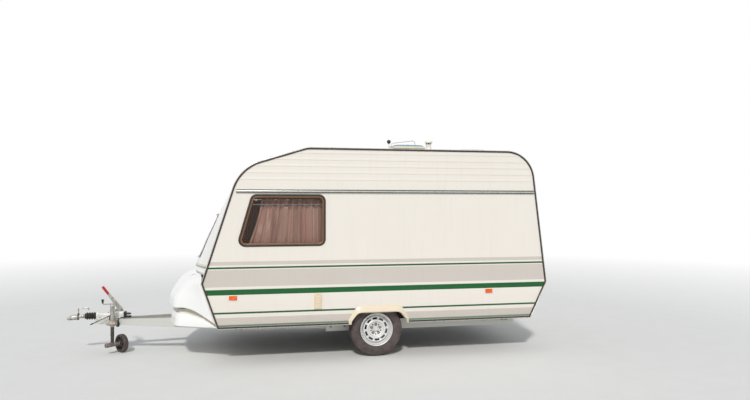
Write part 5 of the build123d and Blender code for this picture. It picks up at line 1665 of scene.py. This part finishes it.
def build_spats():
    """Wheel arch trims: a wide sloping band, a crest and a lip that curls in."""
    outer = resampled(rounded(SPAT_EDGE, SPAT_ROUNDS, 10), 96)
    inner = resampled(rounded(ARCH_LIP, LIP_ROUNDS, 10), 96)
    for p in inner:
        p.y = max(p.y, 0)
    section = (
        (0, -0.001), (0, 0.003), (0.015, 0.0055), (0.06, 0.007), (0.2, 0.0125), (0.4, 0.0215),
        (0.58, 0.0315), (0.68, 0.0385), (0.74, 0.041), (0.8, 0.0412), (0.85, 0.039), (0.9, 0.033),
        (0.95, 0.023), (0.985, 0.012), (1, 0), (1.004, -0.03), (0.992, -0.03), (0.985, -0.001),
    )
    for side, hand in SIDES:
        place = on_side(hand)
        rings = []
        for a, b in zip(outer, inner):
            rings.append(
                [place(ARCH_X + a.x + (b.x - a.x) * s, FOOT_Z + a.y + (b.y - a.y) * s, w) for s, w in section]
            )
        piece(f"arch_trim_{side}", *skin(rings), "spat_beige", stands_for=("wheel_arch_trims",), crease=40)


def build_chassis():
    """Galvanised rails, drawbar and steadies with their bolts, and the axle."""
    for name in ("chassis_rails", "drawbar_rails", "cross_members", "steady_brackets"):
        dress(name, "galvanised")
    for name in ("steady_front_left", "steady_front_right", "steady_rear_left", "steady_rear_right"):
        dress(name, "zinc_plate")
    dress("axle", "dark_steel")
    parts = []
    for hand in (LEFT, RIGHT):
        for x in (0.23, 0.4, 0.62):
            for z in (0.31, 0.375):
                parts.append(bolt_head((x, hand * 0.6455, z), (0, hand, 0), 0.0095, 0.007, 1.4))
        for x in (1, 1.35, 1.65, 2.1, 2.5):
            parts.append(bolt_head((x, hand * 0.6455, 0.376), (0, hand, 0), 0.008, 0.006, 1.4))
        for x in (-1.45, -1.05, -0.55, 0):
            y = 0.055 + (x + 2.469) * (0.57 - 0.055) / 2.9 + 0.0255
            parts.append(bolt_head((x, hand * y, 0.378), (0, hand, 0), 0.008, 0.006, 1.4))
    piece("chassis_bolts", *merged(*parts), "worn_steel", crease=30)
    parts = []
    for x in (-0.519, 2.061):
        for hand in (LEFT, RIGHT):
            for dx in (-0.034, 0.034):
                for dy in (-0.036, 0.036):
                    parts.append(bolt_head((x + dx, hand * 0.8 + dy, 0.398), (0, 0, -1), 0.006, 0.005, 1.3))
            for side in (-1, 1):
                parts.append(
                    bolt_head((x, hand * 0.8 + side * 0.028, 0.358), (0, side, 0), 0.008, 0.006, 1.3)
                )
    piece("steady_bolts", *merged(*parts), "worn_steel", crease=30)


# Coupling

def across_loop(half_w, low, high, edge, x, count=5):
    """A rounded rectangle across the caravan at one X."""
    line = rectangle(0, (low + high) / 2, half_w, (high - low) / 2, edge, count)
    return [Vector((x, p.x, p.y)) for p in line]


def build_coupling():
    """Overrun housing, ribbed bellows, tapered ball head with its wire handle, and the handbrake lever."""
    rings = []
    for x, half_w, low, high, edge in mm(
        (-2575, 38, 410, 474, 18), (-2573, 46, 405, 480, 20), (-2560, 50, 404, 482, 20),
        (-2548, 50, 404, 482, 20), (-2540, 43, 404, 477, 20), (-2470, 41, 404, 470, 22),
        (-2400, 40, 404, 468, 22), (-2350, 43, 404, 480, 20), (-2300, 46, 404, 482, 18),
        (-2262, 47, 404, 482, 16), (-2256, 44, 406, 478, 16),
    ):
        rings.append(across_loop(half_w, low, high, edge, x))
    flanges = [soft_block((0.32, 0.104, 0.01), (-2.412, 0, 0.41), 0.003)]
    nipple = turned(
        mm((0, 0), (6, 0), (6, 6), (3.5, 8), (3.5, 14), (0, 15)), (-2.44, 0, 0.468), (0, 0, 1), 16
    )
    piece(
        "housing_body", *merged(skin(rings), *flanges), "cast_grey", stands_for=("overrun_housing",),
        crease=40,
    )
    bolts = [
        bolt_head((x, hand * 0.0465, 0.415), (0, 0, 1), 0.0055, 0.006, 1.3)
        for x in (-2.53, -2.44, -2.36, -2.28)
        for hand in (LEFT, RIGHT)
    ]
    piece("housing_bolts", *merged(nipple, *bolts), "worn_steel", crease=30)
    rear = [
        soft_block((0.026, 0.08, 0.076), (-2.242, 0, 0.443), 0.005),
        soft_block((0.058, 0.05, 0.022), (-2.2, 0, 0.417), 0.005),
        turned(mm((0, 0), (13, 0), (13, 40), (9, 44), (9, 56), (0, 56)), (-2.23, 0, 0.452), (1, 0, 0), 24),
    ]
    piece("housing_buffer", *merged(*rear), "black_plastic", crease=40)

    # Bellows: rounded ribs on a stem, with a collar at each end
    x0, x1, ribs = -2.705, -2.575, 4
    section = [(0.024, x0), (0.036, x0), (0.0365, x0 + 0.004), (0.033, x0 + 0.007)]
    steps = 12
    for k in range(ribs * steps + 1):
        share = k / (ribs * steps)
        swell = 0.5 - 0.5 * cos(2 * pi * ribs * share)
        section.append((0.0325 + 0.013 * swell ** 0.7, x0 + 0.009 + (x1 - x0 - 0.018) * share))
    section += [(0.033, x1 - 0.007), (0.038, x1 - 0.004), (0.038, x1 - 0.0005), (0.024, x1 - 0.0005)]
    piece(
        "bellows", *turned(section, (0, 0, 0.437), (1, 0, 0), 64), "black_rubber", stands_for=("gaiter",),
        crease=60,
    )

    # Ball head: a pressed shell open below round its socket, on the draw shaft
    rings = []
    for x, half_w, low, high, edge in mm(
        (-2725.5, 24, 419, 453, 14), (-2755, 24.5, 419, 453, 14), (-2774, 26, 417, 453, 14),
        (-2788, 31, 406, 454, 18), (-2800, 34.5, 401, 455, 20), (-2835, 36, 400, 455, 24),
        (-2862, 35.5, 400, 452, 24), (-2884, 31.5, 400, 445, 21), (-2898, 24.5, 401, 437, 16),
        (-2908, 15.5, 402, 428, 11), (-2913.5, 6, 403, 416, 5.5),
    ):
        line = [p for p in across_loop(half_w, low, high, edge, x, 8) if p.z > low + 0.0005]
        top = sorted(line, key=lambda p: atan2(p.z - (low + 0.001), p.y))
        top = [Vector((x, half_w, low))] + top + [Vector((x, -half_w, low))]
        flat = [Vector((p.y, p.z)) for p in top]
        even = resampled(flat, 33)
        rings.append([Vector((x, p.x, p.y)) for p in even])
    shell = skin(rings, around=False, cap=False)
    shell[1].append(tuple(range(33)))
    piece("head_shell", *shell, "zinc_plate", stands_for=("coupling_head",), crease=50, wall=0.0035)
    cup = mm(
        (25.4, -1), (25.4, 20), (23.5, 27), (18, 32), (9, 34.5), (0, 35), (0, 38), (11, 37.2), (21, 34),
        (27, 28.5), (29, 20), (29, -1),
    )
    shaft = turned(
        mm((0, -2735), (20.5, -2735), (21.8, -2731), (21.8, -2576), (0, -2576)), (0, 0, 0.437), (1, 0, 0), 40
    )
    piece(
        "head_socket", *merged(turned(cup, (-2.871, 0, 0.4005), (0, 0, 1), 48), shaft), "worn_steel",
        crease=40,
    )
    handle = bent_rod(
        mm((-2784, 0, 450), (-2784, 0, 534.5), (-2666, 0, 534.5), (-2666, 0, 512)), 0.0075, 0.014
    )
    latch = soft_block((0.046, 0.022, 0.008), (-2.824, 0, 0.456), 0.003)
    bolts = [
        bolt_head((-2.745, hand * 0.0235, 0.437), (0, hand, 0), 0.007, 0.006, 1.3) for hand in (LEFT, RIGHT)
    ]
    piece("head_handle", *merged(handle, latch, *bolts), "zinc_plate", crease=40)
    catch = [
        soft_block((0.013, 0.064, 0.068), (-2.784, 0, 0.428), 0.004),
        soft_block((0.018, 0.022, 0.03), (-2.784, 0, 0.464), 0.004),
    ]
    piece("head_catch", *merged(*catch), "dark_steel", crease=40)

    # Handbrake lever: pressed channel, ratchet sector and a moulded grip
    foot, tip = Vector((-2.299, 0.03, 0.499)), Vector((-2.514, 0.03, 0.79))
    up = (tip - foot).normalized()
    ahead = Vector((-up.z, 0, up.x))
    if ahead.x > 0:
        ahead = -ahead
    length = (tip - foot).length
    grip_from = length - 0.118
    half_t = 0.0075
    rings = []
    for at, wide in (
        (-0.004, 0.024), (0.002, 0.0265), (0.03, 0.0262), (0.09, 0.023), (0.18, 0.018),
        (grip_from + 0.004, 0.013),
    ):
        base = foot + up * at
        section = (
            (half_t, wide), (half_t, -wide), (half_t - 0.002, -wide - 0.002), (
                -half_t + 0.002, -wide - 0.002
            ),
            (-half_t, -wide), (-half_t, wide), (-half_t + 0.0026, wide), (-half_t + 0.0026, -wide + 0.002),
            (half_t - 0.0026, -wide + 0.002), (half_t - 0.0026, wide),
        )
        rings.append([base + Vector((0, y, 0)) + ahead * d for y, d in section])
    piece("lever_channel", *skin(rings), "zinc_plate", stands_for=("handbrake_lever",), crease=30)
    grip = []
    for k in range(41):
        share = k / 40
        swell = 0.0158 + 0.0011 * cos(2 * pi * 4 * share) + 0.0012 * share
        if share > 0.93:
            swell *= sqrt(max(0, 1 - ((share - 0.93) / 0.075) ** 2))
        if share < 0.04:
            swell *= 0.86 + 3.5 * share
        grip.append((max(0, swell), grip_from + 0.118 * share))
    section = [(0, grip_from)] + grip + [(0, length)]
    piece("lever_grip", *turned(section, foot, up, 32), "red_grip", crease=50)
    line = [Vector((-2.372, 0.47))]
    for k in range(22):
        angle = radians(150 - 112 * k / 22)
        for lift in (0, 0.0035):
            line.append(
                Vector((-2.32 + (0.056 + lift) * cos(angle), 0.47 + (0.056 + lift) * sin(angle) * 0.85))
            )
    line.append(Vector((-2.268, 0.47)))
    sector = skin([[Vector((p.x, y, p.y)) for p in line] for y in (0.041, 0.045)])
    foot_plate = soft_block((0.1, 0.026, 0.006), (-2.318, 0.033, 0.483), 0.002)
    pivot = bolt_head(foot + Vector((0, half_t, 0)), (0, 1, 0), 0.009, 0.007, 1.3)
    pivot_near = bolt_head(foot - Vector((0, half_t, 0)), (0, -1, 0), 0.009, 0.007, 1.3)
    piece("lever_ratchet", *merged(sector, foot_plate, pivot, pivot_near), "worn_steel", crease=30)


# Jockey wheel

LEG = Vector((-2.369, -0.151, 0))
CLAMP_Y = LEG.y - 0.044
CASTOR_TURN = radians(-50)


def build_jockey():
    """Jockey wheel: outer tube with crank and clamp, inner tube, castor tube with hub barrel, and wheel."""
    up = (0, 0, 1)
    outer = mm(
        (22.6, 320), (25.5, 320), (26, 321.5), (26, 560), (27.2, 562), (27.2, 580), (24, 586), (16, 592),
        (16, 600), (0, 602), (0, 584), (22.6, 582),
    )
    piece(
        "jockey_tube", *turned(outer, LEG, up, 48), "zinc_plate", stands_for=("jockey_outer_tube",), crease=40
    )
    corners = [LEG + Vector(v) for v in ((0.012, 0, 0.6), (-0.104, 0, 0.594), (-0.112, 0, 0.65))]
    piece("jockey_crank", *bent_rod(corners, 0.0062, 0.014), "worn_steel", crease=40)
    knob = mm((0, 608), (8.5, 608), (11.5, 614), (12, 630), (12.5, 640), (18, 646), (17.5, 654), (0, 656))
    piece("crank_knob", *turned(knob, LEG + Vector((-0.11, 0, 0)), up, 28), "black_plastic", crease=50)

    # Clamp: a split collar with its bracket, a pinch screw, and a long handle rod with a black tip
    collar = []
    steps = 36
    profile = mm((26.3, 334), (37, 334), (39.5, 338), (39.5, 392), (37, 396), (26.3, 396))
    for k in range(steps + 1):
        angle = radians(200) + radians(320) * k / steps
        spoke = Vector((cos(angle), sin(angle), 0))
        collar.append([LEG + spoke * r + Vector((0, 0, z)) for r, z in profile])
    bracket = soft_block((0.046, 0.036, 0.058), (LEG.x, LEG.y + 0.0515, 0.365), 0.005)
    barrel = turned(
        mm((0, -52), (20, -52), (22, -49), (22, 49), (20, 52), (0, 52)), (LEG.x - 0.006, CLAMP_Y, 0.366),
        (1, 0, 0), 32,
    )
    piece(
        "jockey_clamp_body", *merged(skin(collar), bracket, barrel), "clamp_paint",
        stands_for=("jockey_clamp",), crease=40,
    )
    bar = bent_rod([(LEG.x - 0.075, CLAMP_Y, 0.366), (LEG.x + 0.06, CLAMP_Y, 0.366)], 0.0075, 0.01)
    tee = bent_rod([(LEG.x + 0.058, CLAMP_Y, 0.338), (LEG.x + 0.058, CLAMP_Y, 0.394)], 0.0055, 0.01)
    piece("clamp_screw", *merged(bar, tee), "worn_steel", crease=40)
    high, low = Vector((-2.403, -0.128, 0.452)), Vector((-2.619, -0.128, 0.352))
    lug = soft_block((0.016, 0.01, 0.062), (-2.403, -0.128, 0.427), 0.002)
    piece("clamp_rod", *merged(bent_rod([high, low], 0.005, 0.01), lug), "dark_steel", crease=40)
    tip = bent_rod([low.lerp(high, 0.14), low + (low - high).normalized() * 0.006], 0.0085, 0.01, taper=0.7)
    piece("clamp_rod_tip", *tip, "black_plastic", crease=50)

    inner = mm((10.6, 229), (20.5, 229), (21, 230.5), (21, 498), (20.5, 500), (10.6, 500))
    piece(
        "jockey_stem", *turned(inner, LEG, up, 40), "dark_steel", body="jockey_leg",
        stands_for=("jockey_inner_tube",), crease=40,
    )

    # Castor and wheel, turned about the leg; the hub's axis runs out level beside the tube
    along = Vector((cos(CASTOR_TURN), sin(CASTOR_TURN), 0))
    axle = Vector((sin(CASTOR_TURN), -cos(CASTOR_TURN), 0))
    side = LEG + along * 0.036 + Vector((0, 0, 0.11))
    hub = side - axle * 0.103
    tube = mm(
        (0, 108), (20, 108), (20, 214), (22.5, 216), (23, 218), (23, 226), (22, 228), (10, 228), (10, 272),
        (0, 272),
    )
    piece(
        "castor_tube", *turned(tube, LEG, up, 40), "dark_steel", body="jockey_castor",
        stands_for=("jockey_castor",), crease=40,
    )
    barrel = mm(
        (0, 106), (17, 106), (19, 109), (23.5, 109.5), (25.8, 107), (26, 103), (26, 30), (23.5, 26),
        (22.5, 0), (22, -58), (24, -60), (24, -67), (0, -67.5),
    )
    nut = bolt_head(side - axle * 0.1385, -axle, 0.013, 0.008, 1.2)
    pin = turned(mm((0, -138.5), (7.3, -138.5), (7.3, -60), (0, -60)), side, axle, 24)
    piece(
        "castor_hub", *merged(turned(barrel, side, axle, 40), nut, pin), "grimy_steel", body="jockey_castor",
        crease=35,
    )
    tyre = mm(
        (84, -27), (96, -28.6), (104, -28), (108.8, -23.5), (110, -15), (110, -3), (108.8, -2), (108.8, 2),
        (110, 3), (110, 15), (108.8, 23.5), (104, 28), (96, 28.6), (84, 27), (82, 20), (82, -20),
    )
    piece(
        "jockey_tyre", *turned(tyre, hub, axle, 72), "solid_tyre", body="jockey_wheel",
        stands_for=("jockey_wheel",), crease=40,
    )
    rim = mm((83, 24), (80, 26.2), (77, 24.5), (75, 10), (74.5, -6))
    web = mm((74.5, 1), (34, 1), (34, -1), (74.5, -1))
    boss = mm((35, 1), (31, 22), (27, 25), (8.2, 25), (8.2, -25), (27, -25), (31, -22), (35, -1))
    whole = [*rim] + [(r, -d) for r, d in rim[:4][::-1]]
    ribs = []
    for k in range(6):
        spoke = Matrix.Rotation(2 * pi * k / 6 + 0.3, 3, axle)
        turn = spoke @ Matrix((along, axle, (0, 0, 1))).transposed()
        ribs.append(soft_block((0.046, 0.034, 0.006), hub + spoke @ (along * 0.054), 0.0015, turn))
    parts = [turned(shape, hub, axle, 72) for shape in (whole, web, boss)]
    piece("jockey_rim", *merged(*parts, *ribs), "dark_steel", body="jockey_wheel", crease=40)


def build_lead():
    """Lead to the towing vehicle, from its gland in the overrun housing to the ribbed plug by the clamp."""
    x = AXLE_X - 3.041
    route = [
        (x + 0.078, -0.052, 0.42), (x + 0.078, -0.084, 0.42), (x + 0.024, -0.101, 0.416),
        (x, -0.129, 0.408), (x, -0.129, 0.38),
    ]
    cable = bent_rod(route, 0.0058, 0.015, steps=6)
    gland = turned(
        mm((0, 0), (11, 0), (11, 6), (8.5, 8), (8, 18), (0, 18)), (x + 0.078, -0.05, 0.42), (0, -1, 0), 24
    )
    plug = [*mm((0, 386), (7.5, 386), (9, 380), (12.5, 374))]
    for k in range(5):
        z = 0.37 - 0.0065 * k
        plug += [(0.0165, z), (0.0182, z - 0.0015), (0.0182, z - 0.0035), (0.0165, z - 0.005)]
    plug += mm((17.2, 334), (19, 332), (19, 319), (18, 316.5), (15, 316.5), (14.5, 324), (0, 324))
    body = turned(plug, (x, -0.129, 0), (0, 0, 1), 40)
    piece("lead_plug", *merged(cable, gland, body), "cable_black", stands_for=("tow_lead",), crease=40)
    tab = soft_block((0.008, 0.005, 0.036), (x - 0.0175, -0.139, 0.345), 0.002, Matrix.Rotation(0.5, 3, "Y"))
    piece("lead_tab", *tab, "plug_orange", crease=40)


# Roof fittings

def build_roof_fittings():
    """Hatch frame, tinted lid with a painted sky reflection and tilted bail, skylight, flue and the short
    mast.
    """
    x, lid_z, up = 1.348, 2.547, (0, 0, 1)
    line = rectangle(x, 0, 0.215, 0.215, 0.05, 8)
    section = mm(
        (22, -1), (22, 2.5), (18, 4.5), (4, 6), (0, 10), (-3, 77), (-6, 83), (-12, 84), (-24, 84), (-31, 80),
        (-31, -1),
    )
    ears = [soft_block((0.008, 0.05, 0.036), (x + 0.219, y, 2.526), 0.002) for y in (-0.12, 0.12)]
    frame_mesh = carried(line, section, level((0, 0, ROOF_Z)))
    piece(
        "hatch_frame_shell", *merged(frame_mesh, *ears), "cream_plastic", stands_for=("hatch_frame",),
        crease=40,
    )
    edge = rectangle(x, 0, 0.222, 0.222, 0.056, 8)
    shape = [
        (0.985, 0.004), (0.995, 0), (1, 0.002), (1, 0.016), (0.985, 0.024), (0.94, 0.028), (0.925, 0.029),
    ]
    rings = [[Vector((x + (p.x - x) * s, p.y * s, lid_z + w)) for p in edge] for s, w in shape]
    piece(
        "hatch_lid_rim", *skin(rings, cap=False), "cream_plastic", body="hatch_lid",
        stands_for=("hatch_lid",), crease=50, wall=0.003,
    )
    # The dome's blue is partly its tint and partly a painted sky reflection
    dome = [(0.93, 0.0285), (0.9, 0.04), (0.84, 0.047), (0.7, 0.052), (0.45, 0.0555), (0.2, 0.057)]
    piece(
        "hatch_dome", *lid_over(edge, level((0, 0, lid_z)), dome), "blue_dome", body="hatch_lid", crease=60,
        wall=0.003,
    )
    bars = []
    for y in (-0.105, 0, 0.105):
        rings = []
        for share, w in (
            (-0.9, 0.0405), (-0.84, 0.048), (-0.6, 0.0545), (0, 0.059), (0.6, 0.0545), (0.84, 0.048),
            (0.9, 0.0405),
        ):
            rings.append(
                [
                    Vector((x + 0.222 * share, y + dy, lid_z + w + dz))
                    for dy, dz in mm((-9, -6), (-8, 0), (8, 0), (9, -6))
                ]
            )
        bars.append(skin(rings))
    piece("hatch_ribs", *merged(*bars), "cream_plastic", body="hatch_lid", crease=50)
    route = mm((1150, 0, 2590), (1154, 0, 2630), (1448, 0, 2671), (1476, 0, 2652), (1482, 0, 2590))
    bail = bent_rod(route, 0.0068, 0.02)
    feet = [soft_block((0.03, 0.036, 0.01), (at, 0, 2.601 - 0.01), 0.003) for at in (1.152, 1.482)]
    piece("hatch_bail", *merged(bail, *feet), "white_plastic", body="hatch_lid", crease=50)

    x = 2.251
    sky = rectangle(x, 0, 0.21, 0.21, 0.06, 8)
    curb = [(1.06, -0.001), (1.06, 0.003), (1, 0.006), (0.985, 0.03), (1, 0.034), (1, 0.044), (0.97, 0.047)]
    rings = [[Vector((x + (p.x - x) * s, p.y * s, ROOF_Z + w)) for p in sky] for s, w in curb]
    piece("skylight_curb", *skin(rings), "white_plastic", stands_for=("skylight",), crease=40)
    dome = [(0.985, 0.04), (0.965, 0.06), (0.92, 0.08), (0.8, 0.094), (0.55, 0.1015), (0.25, 0.104)]
    piece("skylight_dome", *lid_over(sky, level((0, 0, ROOF_Z)), dome), "white_dome", crease=60)

    at = Vector((1.459, -0.7, ROOF_Z))
    tube = mm(
        (0, -1), (62, -1), (62, 3), (50, 8), (40, 12), (35.5, 18), (34.5, 86), (36, 90), (36, 94), (0, 94)
    )
    cap = mm((0, 116), (44, 116), (47.5, 114), (48.5, 118), (47, 132), (44, 137), (30, 139.5), (0, 140))
    piece(
        "flue_tube", *merged(turned(tube, at, up, 44), turned(cap, at, up, 44)), "flue_cream",
        stands_for=("flue",), crease=40,
    )
    # Dark core inside the cap's openings: painted shade, with some soot
    core = turned(mm((0, 90), (27, 90), (27, 118), (0, 118)), at, up, 32)
    piece("flue_core", *core, "soot", crease=40)
    posts = [
        soft_block(
            (0.008, 0.006, 0.028), at + Vector((cos(a) * 0.0325, sin(a) * 0.0325, 0.1045)), 0.0015,
            Matrix.Rotation(a, 3, "Z"),
        )
        for a in [2 * pi * k / 8 for k in range(8)]
    ]
    piece("flue_posts", *merged(*posts), "flue_cream", crease=40)

    at = Vector((1.043, -0.3, ROOF_Z))
    post = mm((0, -1), (30, -1), (30, 3), (18, 9), (10.5, 13), (9.2, 20), (8.8, 138), (0, 138))
    piece("mast_post", *turned(post, at, up, 28), "white_plastic", stands_for=("mast",), crease=40)
    ball = [(0, 0.134), (0.012, 0.134), (0.013, 0.137)]
    ball += [(0.0258 * sin(radians(d)), 0.16 - 0.0258 * cos(radians(d))) for d in range(30, 181, 10)]
    piece("mast_ball", *turned(ball, at, up, 36), "black_plastic", crease=60)


# Operators, one for each group of pieces, and their panel

class CARAVAN_OT_stage(bpy.types.Operator):
    """Sets the camera, floor, sky and sun"""

    bl_idname = "caravan.stage"
    bl_label = "Stage"

    def execute(self, context):
        build_stage(context.scene.caravan_sizes)
        return {"FINISHED"}


class CARAVAN_OT_shell(bpy.types.Operator):
    """Paints the body panels and adds their ribs, beads, bow moulding and drip rails"""

    bl_idname = "caravan.shell"
    bl_label = "Body shell"

    def execute(self, context):
        build_shell(context.scene.caravan_sizes)
        build_bow()
        build_rails()
        return {"FINISHED"}


class CARAVAN_OT_windows(bpy.types.Operator):
    """Adds window rubbers, frames and panes"""

    bl_idname = "caravan.windows"
    bl_label = "Windows"

    def execute(self, context):
        build_windows()
        return {"FINISHED"}


class CARAVAN_OT_curtains(bpy.types.Operator):
    """Hangs the gathered net curtains"""

    bl_idname = "caravan.curtains"
    bl_label = "Curtains"

    def execute(self, context):
        build_curtains(context.scene.caravan_sizes)
        return {"FINISHED"}


class CARAVAN_OT_door(bpy.types.Operator):
    """Finishes the door with its window, edge band and handle"""

    bl_idname = "caravan.door"
    bl_label = "Door"

    def execute(self, context):
        build_door(context.scene.caravan_sizes)
        return {"FINISHED"}


class CARAVAN_OT_lamps(bpy.types.Operator):
    """Adds lamps, blank plate, grab handles and the vent cover"""

    bl_idname = "caravan.lamps"
    bl_label = "Lamps and vent"

    def execute(self, context):
        build_lamps()
        build_vent()
        return {"FINISHED"}


class CARAVAN_OT_locker(bpy.types.Operator):
    """Forms the gas locker's lid and base"""

    bl_idname = "caravan.locker"
    bl_label = "Gas locker"

    def execute(self, context):
        build_locker(context.scene.caravan_sizes)
        return {"FINISHED"}


class CARAVAN_OT_wheels(bpy.types.Operator):
    """Forms the road wheels and the wheel arch trims"""

    bl_idname = "caravan.wheels"
    bl_label = "Wheels and arches"

    def execute(self, context):
        build_wheels(context.scene.caravan_sizes)
        build_spats()
        return {"FINISHED"}


class CARAVAN_OT_chassis(bpy.types.Operator):
    """Finishes the chassis, axle and corner steadies"""

    bl_idname = "caravan.chassis"
    bl_label = "Chassis"

    def execute(self, context):
        build_chassis()
        return {"FINISHED"}


class CARAVAN_OT_coupling(bpy.types.Operator):
    """Forms the coupling, its bellows and the handbrake lever"""

    bl_idname = "caravan.coupling"
    bl_label = "Coupling"

    def execute(self, context):
        build_coupling()
        build_lead()
        return {"FINISHED"}


class CARAVAN_OT_jockey(bpy.types.Operator):
    """Forms the jockey wheel and its clamp"""

    bl_idname = "caravan.jockey"
    bl_label = "Jockey wheel"

    def execute(self, context):
        build_jockey()
        return {"FINISHED"}


class CARAVAN_OT_roof(bpy.types.Operator):
    """Forms the hatch, skylight, flue and mast"""

    bl_idname = "caravan.roof"
    bl_label = "Roof fittings"

    def execute(self, context):
        build_roof_fittings()
        return {"FINISHED"}


OPERATORS = (
    CARAVAN_OT_stage,
    CARAVAN_OT_shell,
    CARAVAN_OT_windows,
    CARAVAN_OT_curtains,
    CARAVAN_OT_door,
    CARAVAN_OT_lamps,
    CARAVAN_OT_locker,
    CARAVAN_OT_wheels,
    CARAVAN_OT_chassis,
    CARAVAN_OT_coupling,
    CARAVAN_OT_jockey,
    CARAVAN_OT_roof,
)


class CARAVAN_PT_panel(bpy.types.Panel):
    """The caravan's sizes, colours and build steps"""

    bl_label = "Travel caravan"
    bl_idname = "CARAVAN_PT_panel"
    bl_space_type = "VIEW_3D"
    bl_region_type = "UI"
    bl_category = "Caravan"

    def draw(self, context):
        layout = self.layout
        for step in OPERATORS:
            layout.operator(step.bl_idname)
        for group in (context.scene.caravan_sizes, context.scene.caravan_colours):
            column = layout.column(align=True)
            for name in group.bl_rna.properties.keys():
                if name not in {"rna_type", "name"}:
                    column.prop(group, name)


CLASSES = (CaravanSizes, CaravanColours, *OPERATORS, CARAVAN_PT_panel)


def register():
    for cls in CLASSES:
        bpy.utils.register_class(cls)
    bpy.types.Scene.caravan_sizes = PointerProperty(type=CaravanSizes)
    bpy.types.Scene.caravan_colours = PointerProperty(type=CaravanColours)


def unregister():
    del bpy.types.Scene.caravan_sizes
    del bpy.types.Scene.caravan_colours
    for cls in reversed(CLASSES):
        bpy.utils.unregister_class(cls)


def main():
    register()
    bpy.ops.caravan.stage()
    bpy.ops.caravan.shell()
    bpy.ops.caravan.windows()
    bpy.ops.caravan.curtains()
    bpy.ops.caravan.door()
    bpy.ops.caravan.lamps()
    bpy.ops.caravan.locker()
    bpy.ops.caravan.wheels()
    bpy.ops.caravan.chassis()
    bpy.ops.caravan.coupling()
    bpy.ops.caravan.jockey()
    bpy.ops.caravan.roof()


if __name__ == "__main__":
    main()
